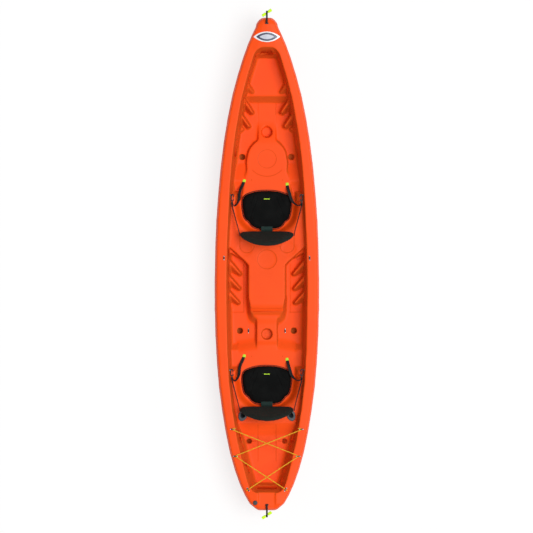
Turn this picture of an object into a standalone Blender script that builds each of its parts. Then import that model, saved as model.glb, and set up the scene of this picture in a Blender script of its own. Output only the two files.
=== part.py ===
"""A two-seat sit-on-top fishing kayak: hull and deck shells, seats, lashings and fittings.

+Y points to the bow, +X to starboard and +Z up. The origin is under the middle of the keel.
"""

import math

import bmesh
import bpy
from mathutils import Matrix, Vector

# Driving dimensions of the hull, in metres
LENGTH = 3.96
BEAM = 0.845
WALL = 0.004
GAP = 0.0003
MERGE = 0.000002
FLAT_ANGLE = math.radians(0.02)
SHEER_MIDDLE = 0.300
SHEER_BOW = 0.385
SHEER_STERN = 0.360
SEAM_MIDDLE = 0.200
SEAM_BOW = 0.290
SEAM_STERN = 0.270
ROCKER = 0.045
FLAT_KEEL_RUN = 1.6
KEEL_STRIP_SHARE = 0.075
STEM_LENGTH = 0.30
NOSE_DEPTH = 0.028
DECK_ROUND_LENGTH = 0.035
TUMBLEHOME = 0.014
SHOULDER_RADIUS = 0.012
DECK_CROWN = 0.008
HULL_STATIONS = 27

# Wells moulded into the deck
WELL_BOW_Y = 1.741
WELL_STERN_Y = -1.841
WELL_BATTER = 0.18
TANK_BATTER = 0.36
WELL_FILLET = 0.018
WELL_CORNER = 0.05
BOW_FLOOR_Z = 0.172
FOOT_FLOOR_Z = 0.112
TANK_FLOOR_Z = 0.175
SEAT_Z = 0.150
BRIDGE_Z = 0.215

# Seats; the rear one is a copy of the front one
SEAT_SPACING = 1.408
FRONT_SEAT_Y = 0.44
REAR_SEAT_Y = FRONT_SEAT_Y - SEAT_SPACING
TANK_FRONT_Y = REAR_SEAT_Y - 0.310
TANK_FLOOR_FRONT_Y = REAR_SEAT_Y - 0.407
BOWL_HALF_WIDTH = 0.256
BOWL_CORNER = 0.19
BOWL_AFT = -0.205
BOWL_FRONT = 0.26
BOWL_DRAFT = 0.03
PAD_THICKNESS = 0.040
BACKREST_WIDTH = 0.437
BACKREST_HEIGHT = 0.30
BACKREST_THICKNESS = 0.030
BACKREST_LEAN = math.radians(19)
BACKREST_FOOT_Z = 0.2215

# Cup holders, scuppers and the round flats
RIB_WIDTH = 0.058
RIB_TIP_WIDTH = 0.014
RIB_ROOT_DEPTH = 0.060
RIB_DRAFT = 0.006
CUP_RADIUS = 0.0455
CUP_DEPTH = 0.055
SCUPPER_TOP_RADIUS = 0.0205
SCUPPER_BOTTOM_RADIUS = 0.030
FLAT_DEPTH = 0.0022
HATCH_FLAT_RADIUS = 0.074
ROD_FLAT_RADIUS = 0.056

# Fittings
EYE_LENGTH = 0.038
EYE_WIDTH = 0.011
EYE_PLATE = 0.003
EYE_BAR = 0.0024
EYE_SPAN = 0.0092
EYE_TOP = 0.0150
EYE_CORNER = 0.005
EYE_RIVET = 0.0030
HOOK_BAR = 0.0024
HOOK_HALF_WIDTH = 0.009
HOOK_LENGTH = 0.054
WEBBING_WIDTH = 0.019
WEBBING_THICKNESS = 0.0018
BUCKLE_WIDTH = 0.027
BUCKLE_LENGTH = 0.025
BUCKLE_THICKNESS = 0.004
BUCKLE_BAR = 0.004
TAB_SIZE = 0.024
TAB_THICKNESS = 0.003
BUNGEE_RADIUS = 0.004
CORD_Z = 0.0078
CORD_END = 0.018
CORD_LIFT = 0.0046
CORD_RISE = 0.14
CORD_SPANS = 10
ROD_TUBE_RADIUS = 0.0225
ROD_TUBE_WALL = 0.0025
ROD_TUBE_LENGTH = 0.15
ROD_TILT = math.radians(25)
ROD_SPLAY = math.radians(8)
ROD_FLANGE_LENGTH = 0.104
ROD_FLANGE_WIDTH = 0.070
ROD_FLANGE_THICKNESS = 0.005
GASKET_THICKNESS = 0.0015
DRAIN_RADIUS = 0.0155
DRAIN_FLANGE = 0.019
DRAIN_THREAD_RADIUS = 0.010
GRIP_TURN = math.radians(34)
HANDLE_REACH = 0.043
HANDLE_Y = 1.935
HANDLE_DROOP = math.radians(8)
HANDLE_EYE = 0.0132
HANDLE_ANCHOR_LENGTH = 0.046
HANDLE_ANCHOR_SPAN = 0.0125
HANDLE_WIDTH = 0.014
SEAT_CLEARANCE = 0.0008
EYE_RIVET_INSET = 0.004
GATE_START = 0.010
GATE_END = 0.030
GATE_RADIUS = 0.0020
GATE_PIVOT = 0.0006
HOOK_RAISE = 0.0015
HOOK_NOSE = 0.0056
BUCKLE_RAIL = 0.003
STRAP_EYE_Y = 0.115
STRAP_EYE_Z = 0.262
STRAP_BACK_Z = 0.295
STRAP_SEWN_RUN = 0.018
BACKREST_Y = -0.195
BACKREST_WRAP = 0.020
BACKREST_WRAP_HEIGHT = 0.09
BACKREST_CORNER = 0.016
BACKREST_COLUMNS = 7
FOLD_Y = -0.1865
FOLD_Z = 0.2240
HINGE_WIDTH = 0.092
HINGE_THICKNESS = 0.0016
PAD_END_ROUND = 0.045
FOAM_HALF_WIDTH = 0.060
BOW_FOAM = (1.38, 1.62)
STERN_FOAM = (-1.74, -1.60)
FOOT_EYE_X = 0.147
FOOT_EYE_Y = -0.537
CHANNEL_HALF_WIDTH = 0.067
CHANNEL_DEPTH = 0.004
DRAIN_X = -0.093
DRAIN_Y = -1.920
DRAIN_BARREL = 0.0125
DRAIN_DEPTH = 0.018
DRAIN_FLANGE_THICKNESS = 0.003
DRAIN_HEAD = 0.006
DRAIN_SHANK = 0.012
ROD_X = 0.2284 * BEAM
ROD_Y = REAR_SEAT_Y - 0.245
ROD_FLANGE_TURN = math.radians(20)

# Shape tables: share of the length from the bow, and share of the half beam there
PLAN = (
    (0.0, 0.066), (0.0076, 0.154), (0.0253, 0.247), (0.0616, 0.395), (0.1104, 0.546),
    (0.159, 0.668), (0.208, 0.760), (0.281, 0.8615), (0.354, 0.929), (0.4515, 0.984),
    (0.561, 1.0), (0.6465, 0.984), (0.744, 0.923), (0.817, 0.8296), (0.890, 0.6947),
    (0.9387, 0.550), (0.963, 0.457), (0.9808, 0.3645), (0.991, 0.3006), (1.0, 0.166),
)
# Share of the length from the bow, and the width of the side deck there
SIDE_DECK = (
    (0.06, 0.083), (0.20, 0.085), (0.30, 0.088), (0.42, 0.097), (0.62, 0.097),
    (0.78, 0.086), (0.84, 0.086), (0.90, 0.083), (0.95, 0.070),
)
# Half section of the hull: share of the half beam, height amidships, height at the ends
HULL_SECTION = (
    (KEEL_STRIP_SHARE, 0.0, 0.0), (0.13, 0.06, 0.04), (0.32, 0.115, 0.17),
    (0.46, 0.03, 0.29), (0.51, 0.0, 0.34), (0.60, 0.0, 0.44), (0.73, 0.09, 0.58),
    (0.87, 0.26, 0.75), (0.96, 0.55, 0.89), (1.0, 1.0, 1.0),
)

# Half section of the seat pad: share of the half width, share of the height, and drawing in
PAD_SECTION = (
    (0.97, 0.0, 0.0), (1.0, 0.30, 0.002), (0.985, 0.62, 0.0), (0.92, 0.86, 0.0),
    (0.80, 0.95, 0.0), (0.735, 0.74, 0.0), (0.67, 0.97, 0.0), (0.35, 1.0, 0.0),
)
# The pad's outline: distance forward of the seat's middle, and half width
PAD_PLAN = (
    (-0.163, 0.070), (-0.145, 0.125), (-0.100, 0.160), (-0.075, 0.190), (-0.030, 0.203),
    (0.060, 0.203), (0.115, 0.200), (0.143, 0.178), (0.157, 0.140),
)
# The backrest's section: share of its height, share of its thickness towards the front
BACKREST_SECTION = (
    (0.0, 0.3), (0.06, 0.5), (0.35, 0.62), (0.65, 0.62), (0.93, 0.5), (1.0, 0.25),
    (1.0, -0.25), (0.93, -0.5), (0.5, -0.5), (0.06, -0.5), (0.0, -0.3),
)
# The sewn hinge strap: distance forward of the seat's middle, and height
HINGE_ROUTE = (
    (-0.138, 0.1897), (-0.150, 0.1866), (-0.1620, 0.1884), (-0.1725, 0.1975),
    (-0.1790, 0.2110), (-0.1828, 0.2250), (-0.1834, 0.2420), (-0.1874, 0.2560),
)
# Each webbing tail's points after the buckle: half width, distance forward of the seat, height
STRAP_TAILS = {
    -1: ((0.2560, 0.0260, 0.2540), (0.2420, 0.0400, 0.2460), (0.2290, 0.0620, 0.2340),
         (0.2220, 0.0920, 0.2180), (0.2215, 0.1240, 0.1990), (0.2140, 0.1560, 0.1790),
         (0.2020, 0.1800, 0.1640), (0.1910, 0.2040, 0.1550), (0.1860, 0.2180, 0.1536)),
    1: ((0.2560, 0.0280, 0.2540), (0.2400, 0.0330, 0.2450), (0.2180, 0.0480, 0.2230),
        (0.1990, 0.0700, 0.2040), (0.1900, 0.0960, 0.1975), (0.1810, 0.1300, 0.1950),
        (0.1730, 0.1600, 0.1860), (0.1690, 0.1715, 0.1650), (0.1668, 0.1810, 0.1550),
        (0.1652, 0.1900, 0.1537)),
}
GRIP_PROFILE = (
    (-0.044, 0.0080), (-0.041, 0.0100), (-0.018, 0.0100), (-0.014, 0.0058), (0.014, 0.0058),
    (0.018, 0.0100), (0.041, 0.0100), (0.044, 0.0080),
)
# Pad eyes on the deck: name, share of the half beam, place along the boat, and turn
DECK_EYES = {
    "gunwale_eye": (0.8142, 0.048, math.radians(90)),
    "bungee_eye_front": (0.6556, TANK_FRONT_Y - 0.051, 0.0),
    "bungee_eye_middle": (0.5964, -1.546, 0.0),
    "bungee_eye_rear": (0.3550, -1.813, math.radians(56)),
}


def smooth(points, at):
    """Read a smooth curve through (place, value) points that never overshoots them."""
    if at <= points[0][0]:
        return points[0][1]
    if at >= points[-1][0]:
        return points[-1][1]
    slopes = [(b[1] - a[1]) / (b[0] - a[0]) for a, b in zip(points, points[1:])]
    tangents = [slopes[0]]
    for before, after in zip(slopes, slopes[1:]):
        same = before * after > 0
        tangents.append(2 * before * after / (before + after) if same else 0.0)
    tangents.append(slopes[-1])
    k = max(i for i, point in enumerate(points[:-1]) if point[0] <= at)
    step = points[k + 1][0] - points[k][0]
    t = (at - points[k][0]) / step
    return (
        points[k][1] * (1 + 2 * t) * (1 - t) ** 2
        + tangents[k] * step * t * (1 - t) ** 2
        + points[k + 1][1] * t * t * (3 - 2 * t)
        + tangents[k + 1] * step * t * t * (t - 1)
    )


def straight(points, at):
    """Read the broken line through (place, value) points whose places rise."""
    for (x0, z0), (x1, z1) in zip(points, points[1:]):
        if at <= x1:
            return z0 + (z1 - z0) * (at - x0) / (x1 - x0)
    return points[-1][1]


def through(points, steps):
    """Return points along a smooth curve through the given ones."""
    ends = [2 * points[0] - points[1], *points, 2 * points[-1] - points[-2]]
    route = []
    for a, b, c, d in zip(ends, ends[1:], ends[2:], ends[3:]):
        for k in range(steps):
            t = k / steps
            route.append(
                0.5 * (2 * b + (c - a) * t + (2 * a - 5 * b + 4 * c - d) * t * t
                       + (3 * b - a - 3 * c + d) * t ** 3)
            )
    return route + [points[-1]]


def offset_outline(outline, distance):
    """Move each side of a closed, anticlockwise outline outwards by a distance."""
    moved = []
    for k, here in enumerate(outline):
        before = Vector(here) - Vector(outline[k - 1])
        after = Vector(outline[(k + 1) % len(outline)]) - Vector(here)
        first = Vector((before.y, -before.x)).normalized()
        second = Vector((after.y, -after.x)).normalized()
        shift = (first + second) * (distance / (1 + first.dot(second)))
        moved.append((here[0] + shift.x, here[1] + shift.y))
    return moved


def arc(centre, radius, start, end, count):
    """Return points on a circle's arc, its angles in degrees."""
    angles = [math.radians(start + (end - start) * k / count) for k in range(count + 1)]
    return [(centre[0] + radius * math.cos(a), centre[1] + radius * math.sin(a)) for a in angles]


def disc(x, y, radius, count=20):
    """Return a circle's outline."""
    return arc((x, y), radius, 0, 360, count)[:-1]


def add_object(name, mesh):
    """Link a mesh to the scene as an object."""
    item = bpy.data.objects.new(name, mesh)
    bpy.context.collection.objects.link(item)
    return item


def mesh_from(name, shape):
    """Close a bmesh into an object with its faces pointing out."""
    bmesh.ops.recalc_face_normals(shape, faces=shape.faces)
    if shape.calc_volume(signed=True) < 0:
        bmesh.ops.reverse_faces(shape, faces=shape.faces)
    mesh = bpy.data.meshes.new(name)
    shape.to_mesh(mesh)
    shape.free()
    return add_object(name, mesh)


def loft(name, rings):
    """Skin rings that have the same number of points, and cap both ends."""
    shape = bmesh.new()
    rows = [[shape.verts.new(point) for point in ring] for ring in rings]
    count = len(rows[0])
    for first, second in zip(rows, rows[1:]):
        for k in range(count):
            n = (k + 1) % count
            shape.faces.new((first[k], first[n], second[n], second[k]))
    shape.faces.new(rows[0])
    shape.faces.new(rows[-1])
    bmesh.ops.triangulate(shape, faces=shape.faces, ngon_method='EAR_CLIP')
    return mesh_from(name, shape)


def prism(name, outline, low, high, draft=0.0):
    """Raise a plan outline from one height to another; draft widens it towards the top."""
    bottom = [(x, y, low) for x, y in outline]
    top = [(x, y, high) for x, y in offset_outline(outline, draft)]
    return loft(name, [bottom, top])


def side_block(name, outline, half_width):
    """Stretch an outline drawn in Y and Z across the boat."""
    return loft(name, [[(x, y, z) for y, z in outline] for x in (-half_width, half_width)])


def combine(target, other, operation):
    """Join, cut or intersect two solids, and leave the result in the first."""
    modifier = target.modifiers.new("combine", 'BOOLEAN')
    modifier.operation = operation
    modifier.solver = 'EXACT'
    modifier.object = other
    graph = bpy.context.evaluated_depsgraph_get()
    result = bpy.data.meshes.new_from_object(target.evaluated_get(graph))
    shape = bmesh.new()
    shape.from_mesh(result)
    bmesh.ops.remove_doubles(shape, verts=shape.verts, dist=MERGE)
    bmesh.ops.dissolve_limit(
        shape, angle_limit=FLAT_ANGLE, verts=shape.verts, edges=shape.edges
    )
    shape.to_mesh(result)
    shape.free()
    target.modifiers.clear()
    target.data = result
    bpy.data.objects.remove(other)
    return target


def join(target, other):
    return combine(target, other, 'UNION')


def cut(target, other):
    return combine(target, other, 'DIFFERENCE')


def pivot_at(item, point):
    """Put an object's origin at its joint without moving its shape."""
    item.data.transform(Matrix.Translation(-Vector(point)))
    item.location = point
    return item


def finish(item, name, colour, roughness, metallic=0.0):
    """Name a sub-part, give it its own material and shade its round faces smooth."""
    item.name = name
    item.data.name = name
    surface = bpy.data.materials.new(name)
    surface.use_nodes = True
    node = surface.node_tree.nodes["Principled BSDF"]
    node.inputs["Base Color"].default_value = (*colour, 1.0)
    node.inputs["Roughness"].default_value = roughness
    node.inputs["Metallic"].default_value = metallic
    item.data.materials.clear()
    item.data.materials.append(surface)
    if item.type == 'MESH':
        item.data.shade_smooth()
        item.data.set_sharp_from_angle(angle=math.radians(35))
    return item


ORANGE = (1.0, 0.095, 0.016)
BLACK = (0.012, 0.012, 0.012)
LIME = (0.50, 0.95, 0.02)
GREY = (0.18, 0.19, 0.20)
STEEL = (0.45, 0.45, 0.44)
AMBER = (0.75, 0.30, 0.03)
FOAM = (0.85, 0.85, 0.85)


# Lines of the boat

def from_bow(y):
    return (LENGTH / 2 - y) / LENGTH


def half_beam(y):
    return BEAM / 2 * smooth(PLAN, from_bow(y))


def rise(y, middle, bow, stern):
    """Blend a height from its value amidships to its value at the end."""
    share = (2 * y / LENGTH) ** 2
    return middle + ((bow if y > 0 else stern) - middle) * share


def seam_z(y):
    return rise(y, SEAM_MIDDLE, SEAM_BOW, SEAM_STERN)


def quarter_round(distance, reach):
    """Rise from 0 to 1 along a quarter of an ellipse."""
    t = min(max(distance / reach, 0.0), 1.0)
    return math.sqrt(1 - (1 - t) ** 2)


def keel_z(y):
    run = max(0.0, abs(y) - FLAT_KEEL_RUN / 2) / (LENGTH / 2 - FLAT_KEEL_RUN / 2)
    low = ROCKER * run ** 2
    nose = seam_z(y) - NOSE_DEPTH
    return nose + (low - nose) * quarter_round(LENGTH / 2 - abs(y), STEM_LENGTH)


def deck_z(y):
    nose = seam_z(y) + NOSE_DEPTH
    sheer = rise(y, SHEER_MIDDLE, SHEER_BOW, SHEER_STERN)
    return nose + (sheer - nose) * quarter_round(LENGTH / 2 - abs(y), DECK_ROUND_LENGTH)


def hull_places():
    """Space the stations closely at both ends and widely amidships."""
    return [LENGTH / 2 * math.cos(math.pi * k / HULL_STATIONS) for k in range(HULL_STATIONS + 1)]


def both_sides(half, y):
    """Turn a starboard half section, which ends at the centre line, into a ring."""
    port = [(-x, z) for x, z in reversed(half) if x > 0]
    return [(x, y, z) for x, z in [*half, *port]]


def drawn_in(y, inset):
    """Shorten a station's place so that the inner skin stops short of the ends."""
    return y * (1 - 2 * inset / LENGTH)


def deck_ring(y, inset, low):
    beam = half_beam(y) - inset
    top = deck_z(y) - inset
    height = deck_z(y) - seam_z(y)
    lean = min(TUMBLEHOME, 0.3 * beam)
    radius = min(SHOULDER_RADIUS, 0.4 * beam, 0.5 * height)
    half = [(beam, low), (beam - 0.3 * lean, seam_z(y) + 0.5 * (height - radius))]
    half += arc((beam - lean - radius, top - radius), radius, 0, 90, 3)
    half += [(0.45 * beam, top + 0.75 * DECK_CROWN), (0.0, top + DECK_CROWN)]
    return both_sides(half, drawn_in(y, inset))


def deck_loft(name, inset, low):
    """Loft the deck's outside, down to the seam or to a height below it."""
    places = hull_places()
    return loft(name, [deck_ring(y, inset, seam_z(y) + GAP / 2 if low is None else low)
                       for y in places])


def hull_half(y, inset):
    """Return the hull's half section from the keel out to the seam."""
    beam = half_beam(y) - inset
    keel = keel_z(y) + inset
    height = seam_z(y) - GAP / 2 - keel
    ends = min(1.0, max(0.0, (abs(y) - 0.35) / 1.35))
    ends = ends * ends * (3 - 2 * ends)
    return [(beam * u, keel + height * (a + (b - a) * ends)) for u, a, b in HULL_SECTION]


def hull_ring(y, inset, above):
    half = hull_half(y, inset)
    if above:
        half.append((half[-1][0], seam_z(y) + above))
    return both_sides(list(reversed(half)), drawn_in(y, inset))


def hull_loft(name, inset, above=0.0):
    return loft(name, [hull_ring(y, inset, above) for y in hull_places()])


# Wells of the deck; each takes a wall, 0 for the hollow and WALL for the skin round it

FLOOR_LINE = (
    (WELL_STERN_Y - 0.012, 0.385), (-1.757, TANK_FLOOR_Z), (TANK_FRONT_Y - 0.022, TANK_FLOOR_Z),
    (TANK_FRONT_Y + 0.088, FOOT_FLOOR_Z), (1.294, FOOT_FLOOR_Z), (1.351, BOW_FLOOR_Z),
    (1.654, BOW_FLOOR_Z), (WELL_BOW_Y + 0.010, 0.390),
)

WELL_PLACES = (
    *(WELL_STERN_Y + WELL_CORNER * t for t in (0.05, 0.3, 1.0)),
    -1.64, -1.45, TANK_FRONT_Y, -0.95, -0.70, -0.45, -0.15, 0.15, 0.45, 0.65, 0.85, 1.05, 1.5,
    *(WELL_BOW_Y - WELL_CORNER * t for t in (1.0, 0.3, 0.05)),
)


CHANNEL_PLACES = (-1.800, -1.835, -1.870, -1.905, -1.940, -1.960)


def floor_line(wall):
    """Return the wells' floor along the centre line, lowered by the wall."""
    if not wall:
        return FLOOR_LINE
    lid = [(FLOOR_LINE[-1][0], 1.0), (FLOOR_LINE[0][0], 1.0)]
    moved = offset_outline([*FLOOR_LINE, *lid], wall)
    return moved[:-2]


def well_half_width(y, wall):
    """Return the half width of the wells where they meet the deck."""
    width = half_beam(y) - smooth(SIDE_DECK, from_bow(y)) + wall
    ends = (WELL_BOW_Y + wall - y, y - WELL_STERN_Y + wall)
    corner = WELL_CORNER * (1 - quarter_round(max(min(ends), 0.0), WELL_CORNER))
    return width - corner


def well_batter(y):
    """Return how far the wall leans in for each metre down."""
    share = min(1.0, max(0.0, (TANK_FRONT_Y + 0.05 - y) / 0.15))
    return WELL_BATTER + (TANK_BATTER - WELL_BATTER) * share


def wall_x(y, z):
    """Return where the well's wall lies at a height."""
    return well_half_width(y, 0) - well_batter(y) * (deck_z(y) - z)


def well_ring(y, floor, wall):
    lip = deck_z(y) + 0.03
    width = well_half_width(y, wall)
    depth = max(deck_z(y) - floor, 0.0)
    fillet = min(WELL_FILLET, 0.4 * depth + 0.001)
    batter = well_batter(y)

    def across(z):
        return width - batter * max(deck_z(y) - z, 0.0)

    floor = min(floor, lip - 0.004)
    half = [
        (width + batter * (lip - deck_z(y)), lip), (across(floor + fillet), floor + fillet),
        (across(floor) - 0.3 * fillet, floor + 0.3 * fillet), (across(floor) - fillet, floor),
    ]
    return both_sides(half, y)


def well_loft(name, wall):
    """Loft the long well from the bow footwell to the tank well."""
    line = floor_line(wall)
    places = sorted({y for y, _ in line} | set(WELL_PLACES))
    return loft(name, [well_ring(y, straight(line, y), wall) for y in places])


def bowl(name, y, wall):
    """Make the seat's bowl: open to the front, round at the back, with drawn-in sides."""
    side = BOWL_HALF_WIDTH
    aft = y + BOWL_AFT
    corner = BOWL_CORNER
    outline = arc((side - corner, aft + corner), corner, -90, 0, 6)
    outline += [(side, y + BOWL_FRONT), (-side, y + BOWL_FRONT)]
    outline += arc((corner - side, aft + corner), corner, 180, 270, 6)
    low = SEAT_Z - wall
    inner = offset_outline(outline, wall - BOWL_DRAFT)
    rise_to = BRIDGE_Z + 0.03
    draft = BOWL_DRAFT * (rise_to - SEAT_Z) / (BRIDGE_Z - SEAT_Z)
    return prism(name, inner, low, rise_to, draft)


def leg_pocket(name, side, wall):
    """Make one of the rear paddler's footwells, beside the console."""
    points = [
        (0.165, -0.015), (0.190, 0.012), (0.40, 0.200), (0.40, -0.80), (0.100, -0.80),
        (0.100, -0.480), (0.150, -0.440), (0.165, -0.400),
    ]
    outline = [(x * side, y) for x, y in (points if side < 0 else points[::-1])]
    outline = offset_outline(outline, wall)
    top = BRIDGE_Z + 0.03
    return prism(name, outline, 0.01, top, 0.022)


def seat_block(name, y, wall):
    """Make the raised seat and the bridge behind it, before its bowl is cut."""
    front = y + 0.235
    if y > 0:
        line = [
            (front + 0.20, 0.094), (front, SEAT_Z), (y + 0.145, SEAT_Z), (y + 0.105, BRIDGE_Z),
            (-0.330, BRIDGE_Z), (-0.410, 0.178), (-0.436, 0.178), (-0.470, 0.08),
        ]
    else:
        line = [
            (-0.570, 0.06), (-0.691, SEAT_Z), (y + 0.145, SEAT_Z), (y + 0.105, BRIDGE_Z),
            (TANK_FRONT_Y, BRIDGE_Z), (TANK_FLOOR_FRONT_Y - 0.02, TANK_FLOOR_Z - 0.008),
        ]
    outline = [*line, (line[-1][0], 0.02), (line[0][0], 0.02)]
    return side_block(name, offset_outline(outline, -wall), 0.46)


def keyhole(name, wall):
    """Make the raised keyhole plateau of the front footwell."""
    half_neck = 0.071
    radius = 0.163
    centre = (0.0, 0.844)
    turn = math.degrees(math.asin(half_neck / radius))
    outline = [(half_neck, 1.075), (half_neck * 0.7, 1.101), (-half_neck * 0.7, 1.101),
               (-half_neck, 1.075)]
    outline += arc(centre, radius, 90 + turn, 450 - turn, 20)
    outline = offset_outline(outline, 0.014 - wall)
    return prism(name, outline, 0.05, 0.150 - wall, -0.014)


def cup_ridge(name, wall):
    """Make the narrow ridge with the rear cup holder."""
    outline = [(-0.080, -0.70), (0.080, -0.70), (0.080, -0.40), (-0.080, -0.40)]
    return prism(name, offset_outline(outline, 0.014 - wall), 0.05, 0.162 - wall, -0.014)


def rib(name, side, root, tip, height, wall):
    """Make a slanted footrest rib: a wedge from the well's wall in to its tip."""
    base_x = root[0] + RIB_ROOT_DEPTH
    ahead = root[1] + RIB_WIDTH - 0.006
    nose = RIB_TIP_WIDTH / 2
    half = [(base_x, ahead), (tip[0], tip[1] + nose), (tip[0], tip[1] - nose),
            (base_x, ahead - RIB_WIDTH)]
    plan = [(x * side, y) for x, y in half]
    if side < 0:
        plan.reverse()
    plan = offset_outline(plan, -wall)
    ground = BOW_FLOOR_Z if tip[1] > FLOOR_LINE[5][0] else FOOT_FLOOR_Z
    fall = 0.45 * height / (base_x - tip[0])
    foot = [(x, y, FOOT_FLOOR_Z - 0.05) for x, y in offset_outline(plan, RIB_DRAFT)]
    crown = [(x, y, ground + height - fall * (base_x - abs(x)) - 1.2 * wall) for x, y in plan]
    return loft(name, [foot, crown])


# Half plans of the footrest ribs: where each leaves the wall, and its tip
FRONT_RIBS = (((0.162, 1.459), (0.109, 1.362)), ((0.190, 1.319), (0.120, 1.192)),
              ((0.212, 1.206), (0.142, 1.078)))
REAR_RIBS = (((0.314, 0.150), (0.226, 0.058)), ((0.314, 0.032), (0.208, -0.097)),
             ((0.314, -0.102), (0.211, -0.212)), ((0.314, -0.209), (0.217, -0.326)))
CUP_HOLDERS = ((0.0, 1.061, 0.150), (0.0, -0.563, 0.162))
ROUND_FLATS = (
    (0.0, 0.844, 0.150, HATCH_FLAT_RADIUS), (0.0, 0.040, BRIDGE_Z, HATCH_FLAT_RADIUS),
    (-0.177, 0.121, BRIDGE_Z, ROD_FLAT_RADIUS), (0.177, 0.121, BRIDGE_Z, ROD_FLAT_RADIUS),
)
SCUPPERS = ((0.198, 0.860, 0.068), (0.217, -0.536, 0.055), (0.142, TANK_FLOOR_FRONT_Y - 0.048, 0.115))


def cup_cutter(name, place, wall):
    x, y, top = place
    radius = CUP_RADIUS + wall
    return prism(name, disc(x, y, radius - 0.003), top - CUP_DEPTH - wall, top + 0.01, 0.003)


def flat_cutter(name, x, y, top, radius, wall):
    """Make a shallow round recess for a hatch or a fitting."""
    return prism(name, disc(x, y, radius + wall, 20), top - FLAT_DEPTH - wall, top + 0.01)


def channel_z(y):
    return deck_z(y) - CHANNEL_DEPTH


def stern_channel(name, wall):
    """Make the channel that runs aft from the tank well to the stern's handle."""
    half = CHANNEL_HALF_WIDTH + wall
    rings = []
    for y in CHANNEL_PLACES:
        place = y - wall if y == CHANNEL_PLACES[-1] else y
        low = channel_z(y) - wall
        rings.append([(-half, place, low), (half, place, low),
                      (half + 0.012, place, low + 0.05), (-half - 0.012, place, low + 0.05)])
    return loft(name, rings)


def wells(name, wall):
    """Make the whole hollow of the deck, or with a wall the skin that it needs."""
    hollow = well_loft(name, wall)
    rear_seat_y = REAR_SEAT_Y
    for y in (FRONT_SEAT_Y, rear_seat_y):
        block = seat_block("block", y, wall)
        if y > 0:
            for side in (-1, 1):
                cut(block, leg_pocket("pocket", side, wall))
        cut(block, bowl("bowl", y, wall))
        cut(hollow, block)
    cut(hollow, keyhole("keyhole", wall))
    cut(hollow, cup_ridge("ridge", wall))
    for side in (-1, 1):
        for root, tip in FRONT_RIBS + REAR_RIBS:
            height = 0.075 if root[1] > 1 else 0.085
            cut(hollow, rib("rib", side, root, tip, height, wall))
    for place in CUP_HOLDERS:
        join(hollow, cup_cutter("cup", place, wall))
    for x, y, top, radius in ROUND_FLATS:
        join(hollow, flat_cutter("flat", x, y, top, radius, wall))
    join(hollow, stern_channel("channel", wall))
    channel = [(-0.074, -1.584), (0.074, -1.584), (0.074, -1.300), (-0.074, -1.300)]
    outline = offset_outline(channel, wall - 0.006)
    join(hollow, prism("channel", outline, TANK_FLOOR_Z - 0.010 - wall, BRIDGE_Z + 0.04, 0.012))
    return hollow


def scupper_post(name, x, y, low, high, wall):
    """Make a scupper's cone between two heights."""
    reach = FOOT_FLOOR_Z

    def radius(z):
        share = min(1.0, max(-0.5, z / reach))
        return SCUPPER_BOTTOM_RADIUS + (SCUPPER_TOP_RADIUS - SCUPPER_BOTTOM_RADIUS) * share + wall

    rings = [[(px, py, z) for px, py in disc(x, y, radius(z), 16)] for z in (low, high)]
    return loft(name, rings)


def below_seam():
    """Make a block, wider than the boat, whose top is the seam."""
    reach = BEAM
    rings = []
    for y in [LENGTH / 2 + 0.05, *hull_places(), -LENGTH / 2 - 0.05]:
        top = seam_z(y) + GAP / 2
        rings.append([(-reach, y, -0.05), (reach, y, -0.05), (reach, y, top), (-reach, y, top)])
    return loft("below", rings)


def deck_shell():
    under = join(below_seam(), deck_loft("inside", WALL, 0.05))
    cut(under, wells("skin", WALL))
    for x, y, split in SCUPPERS:
        for side in (-1, 1):
            cut(under, scupper_post("post", side * x, y, split + GAP / 2, 0.25, WALL))
    deck = deck_loft("deck_shell", 0.0, 0.02)
    cut(deck, under)
    cut(deck, wells("hollow", 0.0))
    for x, y, split in SCUPPERS:
        for side in (-1, 1):
            cut(deck, scupper_post("bore", side * x, y, split - 0.01, 0.25, 0.0))
    for side in (-1, 1):
        cut(deck, rod_tube("hole", side, ROD_TUBE_RADIUS + 0.001, -0.05, 0.05))
    hole = prism("hole", disc(0, 0, DRAIN_BARREL + GAP), -0.02, 0.02)
    hole.data.transform(drain_place())
    cut(deck, hole)
    return finish(deck, "deck_shell", ORANGE, 0.42)


def hull_shell():
    inside = hull_loft("inside", WALL, 0.05)
    for x, y, split in SCUPPERS:
        for side in (-1, 1):
            cut(inside, scupper_post("post", side * x, y, -0.04, split - GAP / 2, WALL))
    hull = cut(hull_loft("hull_shell", 0.0), inside)
    for x, y, split in SCUPPERS:
        for side in (-1, 1):
            cut(hull, scupper_post("bore", side * x, y, -0.05, split + 0.01, 0.0))
    return finish(hull, "hull_shell", ORANGE, 0.42)


def chord(read, places, y):
    """Read a curve as the straight facets between stations do."""
    ordered = sorted(places)
    return straight([(place, read(place)) for place in ordered], y)


def deck_surface(x, y):
    """Return the height of the deck's outside beside the wells."""
    if y < WELL_STERN_Y and abs(x) < CHANNEL_HALF_WIDTH:
        return chord(channel_z, CHANNEL_PLACES, y)

    def at(place):
        beam = half_beam(place)
        lean = min(TUMBLEHOME, 0.3 * beam)
        radius = min(SHOULDER_RADIUS, 0.4 * beam, 0.5 * (deck_z(place) - seam_z(place)))
        flat = beam - lean - radius
        line = [(0.0, DECK_CROWN), (0.45 * beam, 0.75 * DECK_CROWN), (flat, 0.0)]
        return deck_z(place) + straight(line, abs(x))
    return chord(at, hull_places(), y)


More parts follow.
